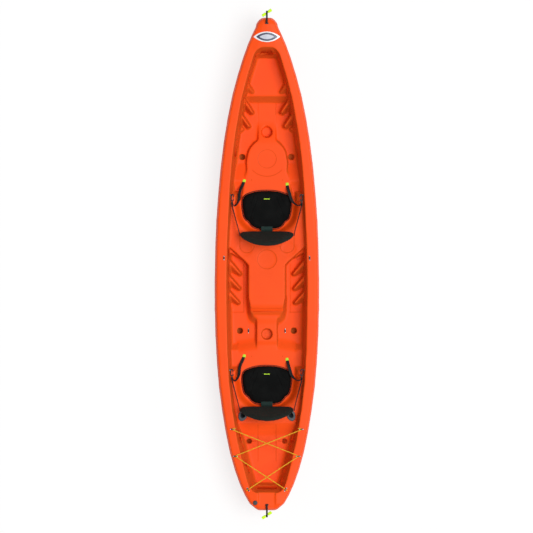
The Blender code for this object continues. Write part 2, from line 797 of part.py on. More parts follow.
def deck_frame(x, y, turn):
    """Return the place and directions of a fitting on the deck, turned about its normal."""
    step = 0.01
    slope_x = (deck_surface(x + step, y) - deck_surface(x - step, y)) / (2 * step)
    slope_y = (deck_surface(x, y + step) - deck_surface(x, y - step)) / (2 * step)
    up = Vector((-slope_x, -slope_y, 1)).normalized()
    point = Vector((x, y, deck_surface(x, y))) + up * SEAT_CLEARANCE
    return frame(point, Vector((math.cos(turn), math.sin(turn), 0)), up)


def frame(point, along, up):
    """Build a place from a point, a rough X direction and an exact Z direction."""
    side = up.cross(along).normalized()
    along = side.cross(up).normalized()
    turned = Matrix((along, side, up)).transposed().to_4x4()
    return Matrix.Translation(point) @ turned


def wall_frame(side, y, z):
    """Return the place and directions of a pad eye on the well's wall."""
    def at(place, height):
        return chord(lambda here: wall_x(here, height), WELL_PLACES, place)
    step = 0.01
    slope_y = (at(y + step, z) - at(y - step, z)) / (2 * step)
    slope_z = (at(y, z + step) - at(y, z - step)) / (2 * step)
    inboard = Vector((-side, slope_y, slope_z)).normalized()
    point = Vector((side * at(y, z), y, z)) + inboard * SEAT_CLEARANCE
    return frame(point, Vector((0, 0, 1)), inboard)


def sweep(name, points, outline, up, closed=False):
    """Carry an outline along a route; up is one direction, or one for each point."""
    rings = []
    count = len(points)
    for k, point in enumerate(points):
        if closed:
            run = points[(k + 1) % count] - points[k - 1]
        else:
            run = points[min(k + 1, count - 1)] - points[max(k - 1, 0)]
        above = up[k] if isinstance(up, list) else up
        side = run.cross(above).normalized()
        above = side.cross(run).normalized()
        rings.append([point + side * a + above * b for a, b in outline])
    if not closed:
        return loft(name, rings)
    shape = bmesh.new()
    rows = [[shape.verts.new(point) for point in ring] for ring in rings]
    size = len(outline)
    for first, second in zip(rows, rows[1:] + rows[:1]):
        for k in range(size):
            n = (k + 1) % size
            shape.faces.new((first[k], first[n], second[n], second[k]))
    return mesh_from(name, shape)


def band(width, thickness):
    """Return the section of a flat strap: its width across, its thickness up."""
    a = width / 2
    b = thickness / 2
    return [(-a, -b), (a, -b), (a, b), (-a, b)]


def placed(item, where):
    item.matrix_world = where
    return item


def pad_eye(name, length=EYE_LENGTH, span=EYE_SPAN):
    """Make a pad eye: a riveted plate with an arched bar, its length along X."""
    end = (length - EYE_WIDTH) / 2
    radius = EYE_WIDTH / 2
    outline = arc((end, 0), radius, -90, 90, 3) + arc((-end, 0), radius, 90, 270, 3)
    eye = prism(name, outline, 0.0, EYE_PLATE)
    corner = span - EYE_CORNER
    level = EYE_TOP - EYE_CORNER
    bends = arc((corner, level), EYE_CORNER, 0, 90, 2)
    bends += arc((-corner, level), EYE_CORNER, 90, 180, 2)
    bends = [(span, EYE_PLATE / 2), *bends, (-span, EYE_PLATE / 2)]
    route = [Vector((x, 0, z)) for x, z in bends]
    join(eye, sweep("bar", route, disc(0, 0, EYE_BAR, 6), Vector((0, 1, 0))))
    for x in (EYE_RIVET_INSET - length / 2, length / 2 - EYE_RIVET_INSET):
        rivet = prism("rivet", disc(x, 0, EYE_RIVET, 6), 0.001, EYE_PLATE + 0.0015, -0.0012)
        join(eye, rivet)
    return eye


def snap_hook(name):
    """Make the hook's body: an oblong ring, open where its gate closes it."""
    radius = HOOK_HALF_WIDTH
    run = HOOK_LENGTH - 2 * radius
    fore = [Vector((x, 0, z)) for x, z in arc((0, 0), radius, 90, 270, 5)]
    aft = [Vector((x, 0, z)) for x, z in arc((run, 0), radius, -90, 90, 5)]
    route = [Vector((GATE_START, 0, radius)), *fore, *aft, Vector((GATE_END, 0, radius))]
    return sweep(name, route, disc(0, 0, HOOK_BAR, 6), Vector((0, 1, 0)))


def hook_gate(name):
    """Make the gate that closes the hook; its end narrows where it turns, at the origin."""
    length = GATE_END - GATE_START - 2 * GAP
    rings = []
    for x, radius in ((-length, GATE_RADIUS), (-GATE_RADIUS, GATE_RADIUS), (0.0, GATE_PIVOT)):
        rings.append([(x, y, z) for y, z in disc(0, 0, radius, 6)])
    return loft(name, rings)


def buckle(name):
    """Make the ladder-lock buckle, its length along X and its bars along Y."""
    a = BUCKLE_LENGTH
    b = BUCKLE_WIDTH / 2
    outline = [(0, -b), (a, -b), (a, b), (0, b)]
    plate = prism(name, outline, -BUCKLE_THICKNESS / 2, BUCKLE_THICKNESS / 2)
    slot = (a - 3 * BUCKLE_BAR) / 2
    c = b - BUCKLE_RAIL
    for start in (BUCKLE_BAR, 2 * BUCKLE_BAR + slot):
        hole = [(start, -c), (start + slot, -c), (start + slot, c), (start, c)]
        cut(plate, prism("slot", hole, -BUCKLE_THICKNESS, BUCKLE_THICKNESS))
    return plate


def seat_pad(name, y):
    """Make a seat pad: crowned, with drawn-in sides and a sewn channel down each side."""
    rings = []
    places = [a + (b - a) * k / 2 for (a, _), (b, _) in zip(PAD_PLAN, PAD_PLAN[1:]) for k in (0, 1)]
    low = SEAT_Z + GAP
    for place in [*places, PAD_PLAN[-1][0]]:
        width = smooth(PAD_PLAN, place)
        ends = min(place - PAD_PLAN[0][0], PAD_PLAN[-1][0] - place)
        height = PAD_THICKNESS * (0.45 + 0.55 * quarter_round(ends, PAD_END_ROUND))
        half = [(width * u - drawn, low + height * v) for u, v, drawn in PAD_SECTION]
        rings.append(both_sides(half, y + place))
    return loft(name, rings)


def backrest(name, y):
    """Make a backrest: a padded panel, tallest in the middle, whose ends come forward."""
    lean = BACKREST_LEAN
    rings = []
    for k in range(2 * BACKREST_COLUMNS + 1):
        u = k / BACKREST_COLUMNS - 1
        height = BACKREST_HEIGHT * (1 - 0.5 * u * u)
        thick = BACKREST_THICKNESS * (1 - 0.6 * u ** 4)
        lift = BACKREST_CORNER * u ** 4
        ring = []
        for share, depth in BACKREST_SECTION:
            s = lift + share * (height - lift)
            t = depth * thick
            wrap = BACKREST_WRAP * u * u * min(1.0, s / BACKREST_WRAP_HEIGHT)
            ring.append((
                u * BACKREST_WIDTH / 2,
                y + BACKREST_Y + wrap - s * math.sin(lean) + t * math.cos(lean),
                BACKREST_FOOT_Z + s * math.cos(lean) + t * math.sin(lean),
            ))
        rings.append(ring)
    return loft(name, rings)


def seat_hinge(name, y):
    """Make the sewn strap from the pad's back edge up the front of the backrest."""
    route = [Vector((0, y + dy, z)) for dy, z in HINGE_ROUTE]
    return sweep(name, through(route, 2), band(HINGE_WIDTH, HINGE_THICKNESS), Vector((0, 0.3, 1)))


def strap_tail(side, y):
    """Return the points of a webbing tail between its buckle and its pull tab."""
    return [Vector((side * x, y + dy, z)) for x, dy, z in STRAP_TAILS[side]]


def webbing(name, side, y, buckle_place, upright):
    """Make the strap from the backrest through the buckle and down to its pull tab."""
    turn_x = BUCKLE_LENGTH - BUCKLE_BAR
    leg = BUCKLE_THICKNESS / 2 + WEBBING_THICKNESS / 2 + 1.4 * GAP
    past = BUCKLE_LENGTH + 0.010
    turn = [(past, -leg), (BUCKLE_LENGTH, -leg), *arc((turn_x, 0), leg, 270, 90, 4),
            (BUCKLE_LENGTH, leg), (past, leg + 0.001)]
    points = [buckle_place @ Vector((x, 0, z)) for x, z in turn]
    back = Vector((side * (BACKREST_WIDTH / 2 + 0.002), y + BACKREST_Y + 0.004, STRAP_BACK_Z))
    sewn = back + Vector((0, -STRAP_SEWN_RUN, 0.005))
    taut = [back.lerp(points[0], share) for share in (0.0, 0.33, 0.67)]
    tail = strap_tail(side, y)
    route = [sewn, *taut, *points, *tail]
    first = len(route) - len(tail) - 1
    ups = []
    for k in range(len(route)):
        if k < first:
            start = min(1.0, max(0.0, (k - 1) / 3.0))
            across = Vector((0, 0, 1)).lerp(upright, start)
        else:
            across = upright.lerp(Vector((-side, 0.25, 0)), min(1.0, (k - first) / 4.0))
        ups.append(across.normalized())
    return sweep(name, route, band(WEBBING_THICKNESS, WEBBING_WIDTH), ups)


def side_fittings(prefix, suffix, side, y):
    """Make one side's pad eye, hook, gate, buckle, webbing and pull tab."""
    where = wall_frame(side, y + STRAP_EYE_Y, STRAP_EYE_Z)
    eye = placed(pad_eye("eye"), where)
    finish(eye, f"{prefix}_seat_eye_{suffix}", BLACK, 0.5)
    normal = where.col[2].to_3d()
    aft = Vector((0, -1, 0))
    aft = (aft - normal * aft.dot(normal)).normalized()
    ring_z = EYE_TOP + HOOK_RAISE
    start = HOOK_HALF_WIDTH - HOOK_NOSE
    centre = where.translation + normal * ring_z + aft * start
    hook_place = frame(centre, aft, normal)
    hook = placed(snap_hook("hook"), hook_place)
    finish(hook, f"{prefix}_snap_hook_{suffix}", STEEL, 0.35, 1.0)
    hinge = Matrix.Translation((GATE_END - GAP, 0, HOOK_HALF_WIDTH))
    gate = placed(hook_gate("gate"), hook_place @ hinge)
    finish(gate, f"{prefix}_hook_gate_{suffix}", STEEL, 0.35, 1.0)
    buckle_x = HOOK_LENGTH - HOOK_HALF_WIDTH - HOOK_BAR - BUCKLE_BAR - 3 * GAP
    buckle_place = hook_place @ Matrix.Translation((buckle_x, 0, 0))
    finish(placed(buckle("buckle"), buckle_place), f"{prefix}_buckle_{suffix}", BLACK, 0.45)
    upright = buckle_place.col[1].to_3d() * side
    strap = webbing("strap", side, y, buckle_place, upright)
    route = strap_tail(side, y)
    finish(strap, f"{prefix}_strap_{suffix}", BLACK, 0.8)
    last = (route[-1] - route[-2]).normalized()
    last.z = 0.0
    tab_place = frame(route[-1] + last * 2 * GAP, last, Vector((0, 0, 1)))
    half = TAB_SIZE / 2
    outline = [(0, -half), (TAB_SIZE - 0.005, -half), (TAB_SIZE, -half + 0.005),
               (TAB_SIZE, half - 0.005), (TAB_SIZE - 0.005, half), (0, half)]
    tab = prism("tab", outline, -TAB_THICKNESS / 2, TAB_THICKNESS / 2)
    finish(placed(tab, tab_place), f"{prefix}_pull_tab_{suffix}", LIME, 0.6)


def seat(prefix, y):
    finish(seat_pad("pad", y), f"{prefix}_seat_pad", BLACK, 0.85)
    rest = finish(backrest("back", y), f"{prefix}_backrest", GREY, 0.85)
    pivot_at(rest, (0.0, y + FOLD_Y, FOLD_Z))
    finish(seat_hinge("hinge", y), f"{prefix}_seat_hinge", GREY, 0.8)
    for side, suffix in ((-1, "left"), (1, "right")):
        side_fittings(prefix, suffix, side, y)


def foam_block(name, low_y, high_y, top):
    """Make a foam block that stands on the keel strip and holds up the floor above it."""
    rings = []
    places = sorted(drawn_in(place, WALL) for place in hull_places())
    inside = [place for place in places if low_y < place < high_y]
    for y in [low_y, *inside, high_y]:
        inner = [(drawn_in(place, WALL), keel_z(place) + WALL) for place in hull_places()]
        keel = straight(sorted(inner), y) + 2 * GAP
        width = KEEL_STRIP_SHARE * half_beam(high_y if high_y > 0 else low_y) - 0.004
        half = [(FOAM_HALF_WIDTH, top), (FOAM_HALF_WIDTH, keel + 0.075), (width, keel)]
        rings.append(both_sides(half, y))
    return finish(loft(name, rings), name, FOAM, 0.9)


def handle(prefix, y):
    """Make a carrying handle: its anchor, the webbing loop and the turned grip."""
    end = 1 if y > 0 else -1
    where = deck_frame(0.0, y, 0.0)
    anchor = pad_eye("eye", HANDLE_ANCHOR_LENGTH, HANDLE_ANCHOR_SPAN)
    finish(placed(anchor, where), f"{prefix}_handle_anchor", BLACK, 0.5)
    pin = where @ Vector((0, 0, EYE_TOP))
    out = Vector((0, end * math.cos(HANDLE_DROOP), -math.sin(HANDLE_DROOP)))
    over = Vector((0, end * math.sin(HANDLE_DROOP), math.cos(HANDLE_DROOP)))
    reach = (LENGTH / 2 + HANDLE_REACH - abs(pin.y)) / math.cos(HANDLE_DROOP)
    small = EYE_BAR + GAP + WEBBING_THICKNESS / 2 + 0.0006
    large = HANDLE_EYE
    route = [pin + out * a + over * b for a, b in arc((0, 0), small, 100, 260, 5)]
    route += [pin + out * a + over * b for a, b in arc((reach, 0), large, -100, 100, 9)]
    loop = sweep("loop", route, band(HANDLE_WIDTH, WEBBING_THICKNESS), Vector((1, 0, 0)).cross(out),
                 closed=True)
    loop = finish(loop, f"{prefix}_handle_webbing", BLACK, 0.8)
    pivot_at(loop, pin)
    direction = Vector((math.cos(GRIP_TURN), math.sin(GRIP_TURN), 0))
    centre = pin + out * reach
    rings = []
    across = direction.cross(Vector((0, 0, 1))).normalized()
    above = across.cross(direction).normalized()
    for place, radius in GRIP_PROFILE:
        rings.append([centre + direction * place + across * a + above * b
                      for a, b in disc(0, 0, radius, 12)])
    grip = finish(loft("grip", rings), f"{prefix}_handle_grip", LIME, 0.5)
    pivot_at(grip, pin)


def ring_of(name, outer, inner, low, high):
    """Make a flat ring about the Z axis."""
    ring = prism(name, disc(0, 0, outer), low, high)
    return cut(ring, prism("hole", disc(0, 0, inner), low - 0.01, high + 0.01))


def drain_place():
    return deck_frame(DRAIN_X, DRAIN_Y, 0.0)


def drain():
    """Make the drain: a flanged socket, its gasket and the screw plug."""
    where = drain_place()
    flange = DRAIN_FLANGE_THICKNESS
    socket = prism("socket", disc(0, 0, DRAIN_FLANGE), 0.0, flange, -0.001)
    join(socket, prism("barrel", disc(0, 0, DRAIN_BARREL), -DRAIN_DEPTH, flange / 2))
    cut(socket, prism("bore", disc(0, 0, DRAIN_THREAD_RADIUS + GAP), -0.05, 0.05))
    finish(placed(socket, where), "drain_socket", BLACK, 0.5)
    low = flange + GAP
    gasket = ring_of("gasket", DRAIN_RADIUS - 0.001, DRAIN_THREAD_RADIUS + GAP, low,
                     low + GASKET_THICKNESS)
    finish(placed(gasket, where), "drain_gasket", BLACK, 0.9)
    low += GASKET_THICKNESS + GAP
    plug = prism("plug", disc(0, 0, DRAIN_RADIUS, 12), low, low + DRAIN_HEAD, -0.001)
    join(plug, prism("shank", disc(0, 0, DRAIN_THREAD_RADIUS), low - DRAIN_SHANK, low + 0.002))
    wing = [(-0.012, -0.0022), (0.012, -0.0022), (0.012, 0.0022), (-0.012, 0.0022)]
    join(plug, prism("wing", wing, low + 0.003, low + DRAIN_HEAD + 0.005, -0.0006))
    finish(placed(plug, where), "drain_plug", GREY, 0.5)


def rod_axis(side):
    """Return the upward direction of a rod holder: it leans aft and outboard."""
    return Vector((side * math.sin(ROD_SPLAY), -math.sin(ROD_TILT), math.cos(ROD_TILT))).normalized()


def rod_tube(name, side, radius, low, high):
    """Make a slanted cylinder on a rod holder's axis, measured from the deck."""
    axis = rod_axis(side)
    centre = Vector((side * ROD_X, ROD_Y, BRIDGE_Z))
    route = [centre + axis * low, centre + axis * high]
    return sweep(name, route, disc(0, 0, radius, 16), Vector((1, 0, 0)))


def oval(name, side, growth, low, high, draft):
    """Make an oval plate on the deck behind the rear seat."""
    turn = side * ROD_FLANGE_TURN
    outline = []
    for x, y in disc(0, 0, 1.0, 24):
        a = x * (ROD_FLANGE_WIDTH / 2 + growth)
        b = y * (ROD_FLANGE_LENGTH / 2 + growth)
        outline.append((side * ROD_X + a * math.cos(turn) - b * math.sin(turn),
                        ROD_Y + a * math.sin(turn) + b * math.cos(turn)))
    return prism(name, outline, low, high, draft)


def rod_holder(side, suffix):
    """Make a flush rod holder and the gasket under its flange."""
    low = BRIDGE_Z + GAP
    gasket = oval("gasket", side, -0.002, low, low + GASKET_THICKNESS, 0.0)
    cut(gasket, rod_tube("hole", side, ROD_TUBE_RADIUS + 0.001, -0.05, 0.05))
    finish(gasket, f"rod_gasket_{suffix}", BLACK, 0.9)
    low += GASKET_THICKNESS + GAP
    holder = oval("holder", side, 0.0, low, low + ROD_FLANGE_THICKNESS, -0.003)
    join(holder, rod_tube("tube", side, ROD_TUBE_RADIUS, -ROD_TUBE_LENGTH, 0.005))
    bore = ROD_TUBE_RADIUS - ROD_TUBE_WALL
    cut(holder, rod_tube("bore", side, bore, -ROD_TUBE_LENGTH + 0.003, 0.05))
    finish(holder, f"rod_holder_{suffix}", GREY, 0.5)


def deck_eye_frame(label, side):
    share, y, turn = DECK_EYES[label]
    return deck_frame(side * share * BEAM / 2, y, turn if side > 0 else math.pi - turn)


def round_leg(label, side, start, end, count):
    """Return the cord's points round an eye's inboard leg, its angles seen from above."""
    where = deck_eye_frame(label, side)
    radius = EYE_BAR + BUNGEE_RADIUS + GAP
    return [where @ Vector((x, side * y, CORD_Z))
            for x, y in arc((-EYE_SPAN, 0), radius, start, end, count)]


def bungee(name, side, lift):
    """Make one length of shock cord: rear eye, far middle eye, near front eye."""
    rear = deck_eye_frame("bungee_eye_rear", side)
    end = -side
    knot = rear @ Vector((0, end * CORD_END, CORD_Z))
    through_rear = [knot, rear @ Vector((0, end * 0.008, CORD_Z)),
                    rear @ Vector((0, -end * 0.008, CORD_Z))]
    middle = round_leg("bungee_eye_middle", -side, -56, 67, 5)
    front = round_leg("bungee_eye_front", side, -68, 100, 7)
    outward = (front[-1] - front[-2]).normalized()
    stub = front[-1] + outward * CORD_END
    route = [*through_rear, *spaced(through_rear[-1], middle[0], lift),
             *middle, *spaced(middle[-1], front[0], lift), *front, stub]
    curve = bpy.data.curves.new(name, 'CURVE')
    curve.dimensions = '3D'
    curve.bevel_depth = BUNGEE_RADIUS
    curve.bevel_resolution = 2
    curve.use_fill_caps = True
    spline = curve.splines.new('POLY')
    spline.points.add(len(route) - 1)
    for point, place in zip(spline.points, route):
        point.co = (*place, 1.0)
    return finish(add_object(name, curve), name, AMBER, 0.7)


def spaced(start, end, lift):
    """Return points between two eyes, raised where this cord crosses the other one."""
    points = []
    for k in range(1, CORD_SPANS):
        point = start.lerp(end, k / CORD_SPANS)
        near = 1 - min(1.0, abs(point.x) / CORD_RISE)
        point.z += lift * near * near * (3 - 2 * near)
        points.append(point)
    return points


def main():
    for item in list(bpy.data.objects):
        bpy.data.objects.remove(item)
    hull_shell()
    deck_shell()
    foam_block("bow_foam_block", *BOW_FOAM, BOW_FLOOR_Z - WALL - GAP)
    foam_block("stern_foam_block", *STERN_FOAM, TANK_FLOOR_Z - WALL - GAP)
    seat("front", FRONT_SEAT_Y)
    seat("rear", REAR_SEAT_Y)
    handle("bow", HANDLE_Y)
    handle("stern", -HANDLE_Y)
    drain()
    for side, suffix in ((-1, "left"), (1, "right")):
        rod_holder(side, suffix)
        for label in DECK_EYES:
            eye = placed(pad_eye("eye"), deck_eye_frame(label, side))
            finish(eye, f"{label}_{suffix}", BLACK, 0.5)
        foot = frame(Vector((side * FOOT_EYE_X, FOOT_EYE_Y, FOOT_FLOOR_Z + GAP)),
                     Vector((0, 1, 0)), Vector((0, 0, 1)))
        finish(placed(pad_eye("eye"), foot), f"footwell_eye_{suffix}", BLACK, 0.5)
        bungee(f"bungee_cord_{suffix}", side, side * CORD_LIFT)


main()
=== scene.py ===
import math

import bmesh
import bpy
import numpy as np
from mathutils import Matrix, Vector
from mathutils.bvhtree import BVHTree


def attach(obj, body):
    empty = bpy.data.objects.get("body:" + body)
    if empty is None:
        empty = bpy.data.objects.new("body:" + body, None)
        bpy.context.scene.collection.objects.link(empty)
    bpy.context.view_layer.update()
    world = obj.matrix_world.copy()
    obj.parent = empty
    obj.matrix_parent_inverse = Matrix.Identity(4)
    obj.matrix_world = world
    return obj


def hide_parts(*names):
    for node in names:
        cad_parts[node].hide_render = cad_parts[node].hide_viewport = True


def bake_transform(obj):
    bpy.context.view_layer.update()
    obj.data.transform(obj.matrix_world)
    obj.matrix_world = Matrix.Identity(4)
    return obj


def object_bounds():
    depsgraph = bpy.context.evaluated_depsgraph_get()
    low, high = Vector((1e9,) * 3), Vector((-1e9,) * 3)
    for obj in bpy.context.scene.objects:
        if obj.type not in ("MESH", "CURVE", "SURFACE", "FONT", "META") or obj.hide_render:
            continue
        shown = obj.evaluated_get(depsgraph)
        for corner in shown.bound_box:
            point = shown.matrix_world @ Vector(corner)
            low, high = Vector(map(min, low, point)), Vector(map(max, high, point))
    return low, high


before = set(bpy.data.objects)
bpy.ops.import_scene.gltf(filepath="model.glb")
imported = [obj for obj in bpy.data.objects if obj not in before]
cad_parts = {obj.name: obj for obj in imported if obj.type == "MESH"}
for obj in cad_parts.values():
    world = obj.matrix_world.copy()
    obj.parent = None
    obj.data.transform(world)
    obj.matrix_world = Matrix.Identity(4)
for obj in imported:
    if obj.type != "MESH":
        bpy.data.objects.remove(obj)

cad_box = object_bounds()
scene = bpy.context.scene
scene.view_settings.view_transform = "Standard"


# The camera hangs straight above the boat, level and square to it, with the bow at the top of the
# picture. It sees without perspective, as the product photograph nearly does.
VIEW_WIDTH = 4.285
camera_data = bpy.data.cameras.new("overhead_camera")
camera_data.type = "ORTHO"
camera_data.ortho_scale = VIEW_WIDTH
camera_data.clip_end = 60
camera = bpy.data.objects.new("overhead_camera", camera_data)
camera.location = (-0.003, -0.020, 6.0)
scene.collection.objects.link(camera)
scene.camera = camera


# The studio is a white floor that keeps the boat's soft shadow, and a white surround that the camera
# and any reflection see. One large lamp stands high on the starboard side, tilted a little from
# overhead, and an even sky fills in the rest.
class Shade:
    """One output of a material's nodes; sums on it become the material's own Math nodes."""

    def __init__(self, tree, socket=None):
        self.tree = tree
        self.socket = socket

    def node(self, kind, settings=None, values=None, output=0):
        """Add a node, set it up, fill or link its sockets, and return one of its outputs."""
        made = self.tree.nodes.new(kind)
        for name, setting in (settings or {}).items():
            if name == "stops":
                ramp = made.color_ramp
                while len(ramp.elements) < len(setting):
                    ramp.elements.new(0.5)
                for element, (place, colour) in zip(ramp.elements, setting):
                    element.position = place
                    element.color = colour
            else:
                setattr(made, name, setting)
        for name, value in (values or {}).items():
            if isinstance(value, Shade):
                self.tree.links.new(value.socket, made.inputs[name])
            else:
                made.inputs[name].default_value = value
        return Shade(self.tree, made.outputs[output] if made.outputs else None)

    def math(self, operation, *others):
        """Work out one sum on this value and others."""
        return self.node("ShaderNodeMath", {"operation": operation}, dict(enumerate((self, *others))))

    def __add__(self, other):
        return self.math("ADD", other)

    __radd__ = __add__

    def __sub__(self, other):
        return self.math("SUBTRACT", other)

    def __rsub__(self, other):
        return self.node("ShaderNodeMath", {"operation": "SUBTRACT"}, {0: other, 1: self})

    def __mul__(self, other):
        return self.math("MULTIPLY", other)

    __rmul__ = __mul__


def remap(value, low, high, to_low=0.0, to_high=1.0):
    """Carry a value from one span to another and hold it there."""
    return value.node("ShaderNodeMapRange", {"interpolation_type": "SMOOTHSTEP"}, {
        "Value": value, "From Min": low, "From Max": high, "To Min": to_low, "To Max": to_high})


def blend_colours(factor, first, second):
    """Mix two colours by a value from 0 to 1."""
    return factor.node("ShaderNodeMix", {"data_type": "RGBA"}, {0: factor, 6: first, 7: second}, 2)


def seen_directly(start):
    """Give 1 to rays from the camera, a reflection or a clear body, and 0 to the boat's light."""
    camera_ray = start.node("ShaderNodeLightPath")
    glossy_ray = Shade(start.tree, camera_ray.socket.node.outputs["Is Glossy Ray"])
    clear_ray = Shade(start.tree, camera_ray.socket.node.outputs["Is Transmission Ray"])
    return (camera_ray + glossy_ray + clear_ray).math("MINIMUM", 1.0)


SKY_STRENGTH = 0.31
LAMP_STRENGTH = 2.65
LAMP_SPREAD = math.radians(34)
LAMP_TILT = (math.radians(2), math.radians(20), 0)
world = bpy.data.worlds.new("white_studio")
world.use_nodes = True
world.node_tree.nodes.clear()
sky = Shade(world.node_tree)
even_light = sky.node("ShaderNodeBackground", None, {"Color": (1, 1, 1, 1), "Strength": SKY_STRENGTH})
white_surround = sky.node("ShaderNodeBackground", None, {"Color": (1, 1, 1, 1), "Strength": 1.0})
either = sky.node("ShaderNodeMixShader", None, {0: seen_directly(sky), 1: even_light, 2: white_surround})
sky.node("ShaderNodeOutputWorld", None, {"Surface": either})
scene.world = world

lamp_data = bpy.data.lights.new("softbox", "SUN")
lamp_data.energy = LAMP_STRENGTH
lamp_data.angle = LAMP_SPREAD
lamp = bpy.data.objects.new("softbox", lamp_data)
lamp.rotation_euler = LAMP_TILT
scene.collection.objects.link(lamp)

FLOOR_DROP = 0.001
FLOOR_SIZE = 40
SHADE_SCALE = (1 / 0.30, 1 / 2.0, 0.0)
FLOOR_GLOW = 0.80
bpy.ops.mesh.primitive_plane_add(size=FLOOR_SIZE, location=(0, 0, cad_box[0][2] - FLOOR_DROP))
floor = bpy.context.object
floor.name = "studio_floor"
bpy.ops.object.transform_apply(location=True)
paper = bpy.data.materials.new("white_floor")
paper.use_nodes = True
paper.node_tree.nodes.clear()
sheet = Shade(paper.node_tree)
glow = sheet.node("ShaderNodeEmission", None, {"Color": (1, 1, 1, 1), "Strength": 1.0})
spot = sheet.node("ShaderNodeTexCoord", output=3)
spread = spot.node("ShaderNodeMapping", None, {"Vector": spot, "Scale": SHADE_SCALE})
reach = spread.node("ShaderNodeVectorMath", {"operation": "LENGTH"}, {0: spread}, 1)
# Part of the floor's brightness is its own, so that it stays white round the shadow, but not under
# the boat, where no light reaches it. Under the boat the floor is painted orange instead of white:
# painted shade with the shell's orange tint.
open_floor = remap(reach, 0.90, 0.98)
floor_colour_with_painted_shade = blend_colours(open_floor, (0.80, 0.200, 0.045, 1), (0.93, 0.93, 0.93, 1))
matt = sheet.node("ShaderNodeBsdfDiffuse", None, {"Color": floor_colour_with_painted_shade})
lit = sheet.node("ShaderNodeMixShader", None,
                 {0: seen_directly(sheet) * open_floor * FLOOR_GLOW, 1: matt, 2: glow})
sheet.node("ShaderNodeOutputMaterial", None, {"Surface": lit})
floor.data.materials.append(paper)


# The boat's shell is two thick-walled mouldings of orange polyethylene, the hull below and the deck
# above, welded along the gunwale. Moulding rounds every edge and leaves a faint orange-peel skin.
PLASTIC_WALL = 0.0035
SHELL_GRAIN = 0.0065
SHELL_FACES = 77000
# Pockets for the rod holders and the drain: place, axis, radius, depth, and how far their rims reach
POCKETS = (
    ((-0.193, -1.213, 0.215), (-0.1378, -0.4186, 0.8977), 0.0270, 0.158, 0.034),
    ((0.193, -1.213, 0.215), (0.1378, -0.4186, 0.8977), 0.0270, 0.158, 0.034),
    ((-0.093, -1.920, 0.360), (-0.1126, -0.0389, 0.9929), 0.0145, 0.024, 0.018),
)


def pick(*pieces):
    """Select only these objects and make the first one active."""
    if bpy.context.object and bpy.context.object.mode != "OBJECT":
        bpy.ops.object.mode_set(mode="OBJECT")
    bpy.ops.object.select_all(action="DESELECT")
    for piece in pieces:
        piece.select_set(True)
    bpy.context.view_layer.objects.active = pieces[0]


def apply_modifier(piece, kind, **settings):
    """Add a modifier, set it and apply it."""
    pick(piece)
    modifier = piece.modifiers.new(kind.lower(), kind)
    for name, value in settings.items():
        setattr(modifier, name, value)
    bpy.ops.object.modifier_apply(modifier=modifier.name)


def finish(name, recipe, **constants):
    """Make a material: constants sit on the shader's own sockets, the recipe's values are linked."""
    material = bpy.data.materials.new(name)
    material.use_nodes = True
    material.node_tree.nodes.clear()
    start = Shade(material.node_tree)
    body = start.node("ShaderNodeBsdfPrincipled")
    sockets = body.socket.node.inputs
    for key, value in constants.items():
        sockets[key.replace("_", " ")].default_value = value
    for key, value in recipe(start).items():
        material.node_tree.links.new(value.socket, sockets[key])
    start.node("ShaderNodeOutputMaterial", None, {"Surface": body})
    return material


def place_on_piece(start):
    """The point's place on the piece, in metres."""
    return start.node("ShaderNodeTexCoord", output=3)


def axes(place):
    """Split a place into its three coordinates."""
    first = place.node("ShaderNodeSeparateXYZ", None, {"Vector": place})
    return [Shade(place.tree, socket) for socket in first.socket.node.outputs]


def stored(start, name):
    """Read a value that is stored on the mesh."""
    return start.node("ShaderNodeAttribute", {"attribute_name": name}, output=2)


def noise(start, place, scale, detail=2.0, stretch=None):
    """Soft random values round one half, with features one over scale metres across."""
    if stretch:
        place = start.node("ShaderNodeMapping", None, {"Vector": place, "Scale": stretch})
    return start.node("ShaderNodeTexNoise", None, {
        "Vector": place, "Scale": scale, "Detail": detail, "Roughness": 0.55})


def bump(start, height, distance, strength=1.0):
    """Turn a height into the surface's normal; distance is the relief in metres."""
    return start.node("ShaderNodeBump", None, {
        "Strength": strength, "Distance": distance, "Height": height})


def dress(name, piece, body, nodes, material):
    """Give a finished piece its name, its body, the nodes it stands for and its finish."""
    piece.name = name
    piece.data.name = name
    piece.data.materials.clear()
    piece.data.materials.append(material)
    if body:
        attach(piece, body)
    if nodes:
        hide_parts(*nodes)


def new_piece(name, verts=(), edges=(), faces=(), work=None):
    """Make a piece from lists, or from a bmesh that is then let go."""
    mesh = bpy.data.meshes.new(name)
    if work:
        work.to_mesh(mesh)
        work.free()
    else:
        mesh.from_pydata(verts, edges, faces)
    piece = bpy.data.objects.new(name, mesh)
    scene.collection.objects.link(piece)
    return piece


def own_copy(piece):
    """Copy a piece with a mesh of its own."""
    twin = piece.copy()
    twin.data = piece.data.copy()
    twin.parent = None
    scene.collection.objects.link(twin)
    return twin


def shade_smooth(piece):
    """Shade all of a piece's faces smooth."""
    piece.data.polygons.foreach_set("use_smooth", [True] * len(piece.data.polygons))


def edge_rings(edges):
    """Sort edges into the separate rings that they form."""
    left = set(edges)
    rings = []
    while left:
        ring_edges = [left.pop()]
        waiting = list(ring_edges)
        while waiting:
            edge = waiting.pop()
            for other in {e for v in edge.verts for e in v.link_edges} & left:
                left.discard(other)
                ring_edges.append(other)
                waiting.append(other)
        rings.append(ring_edges)
    return rings


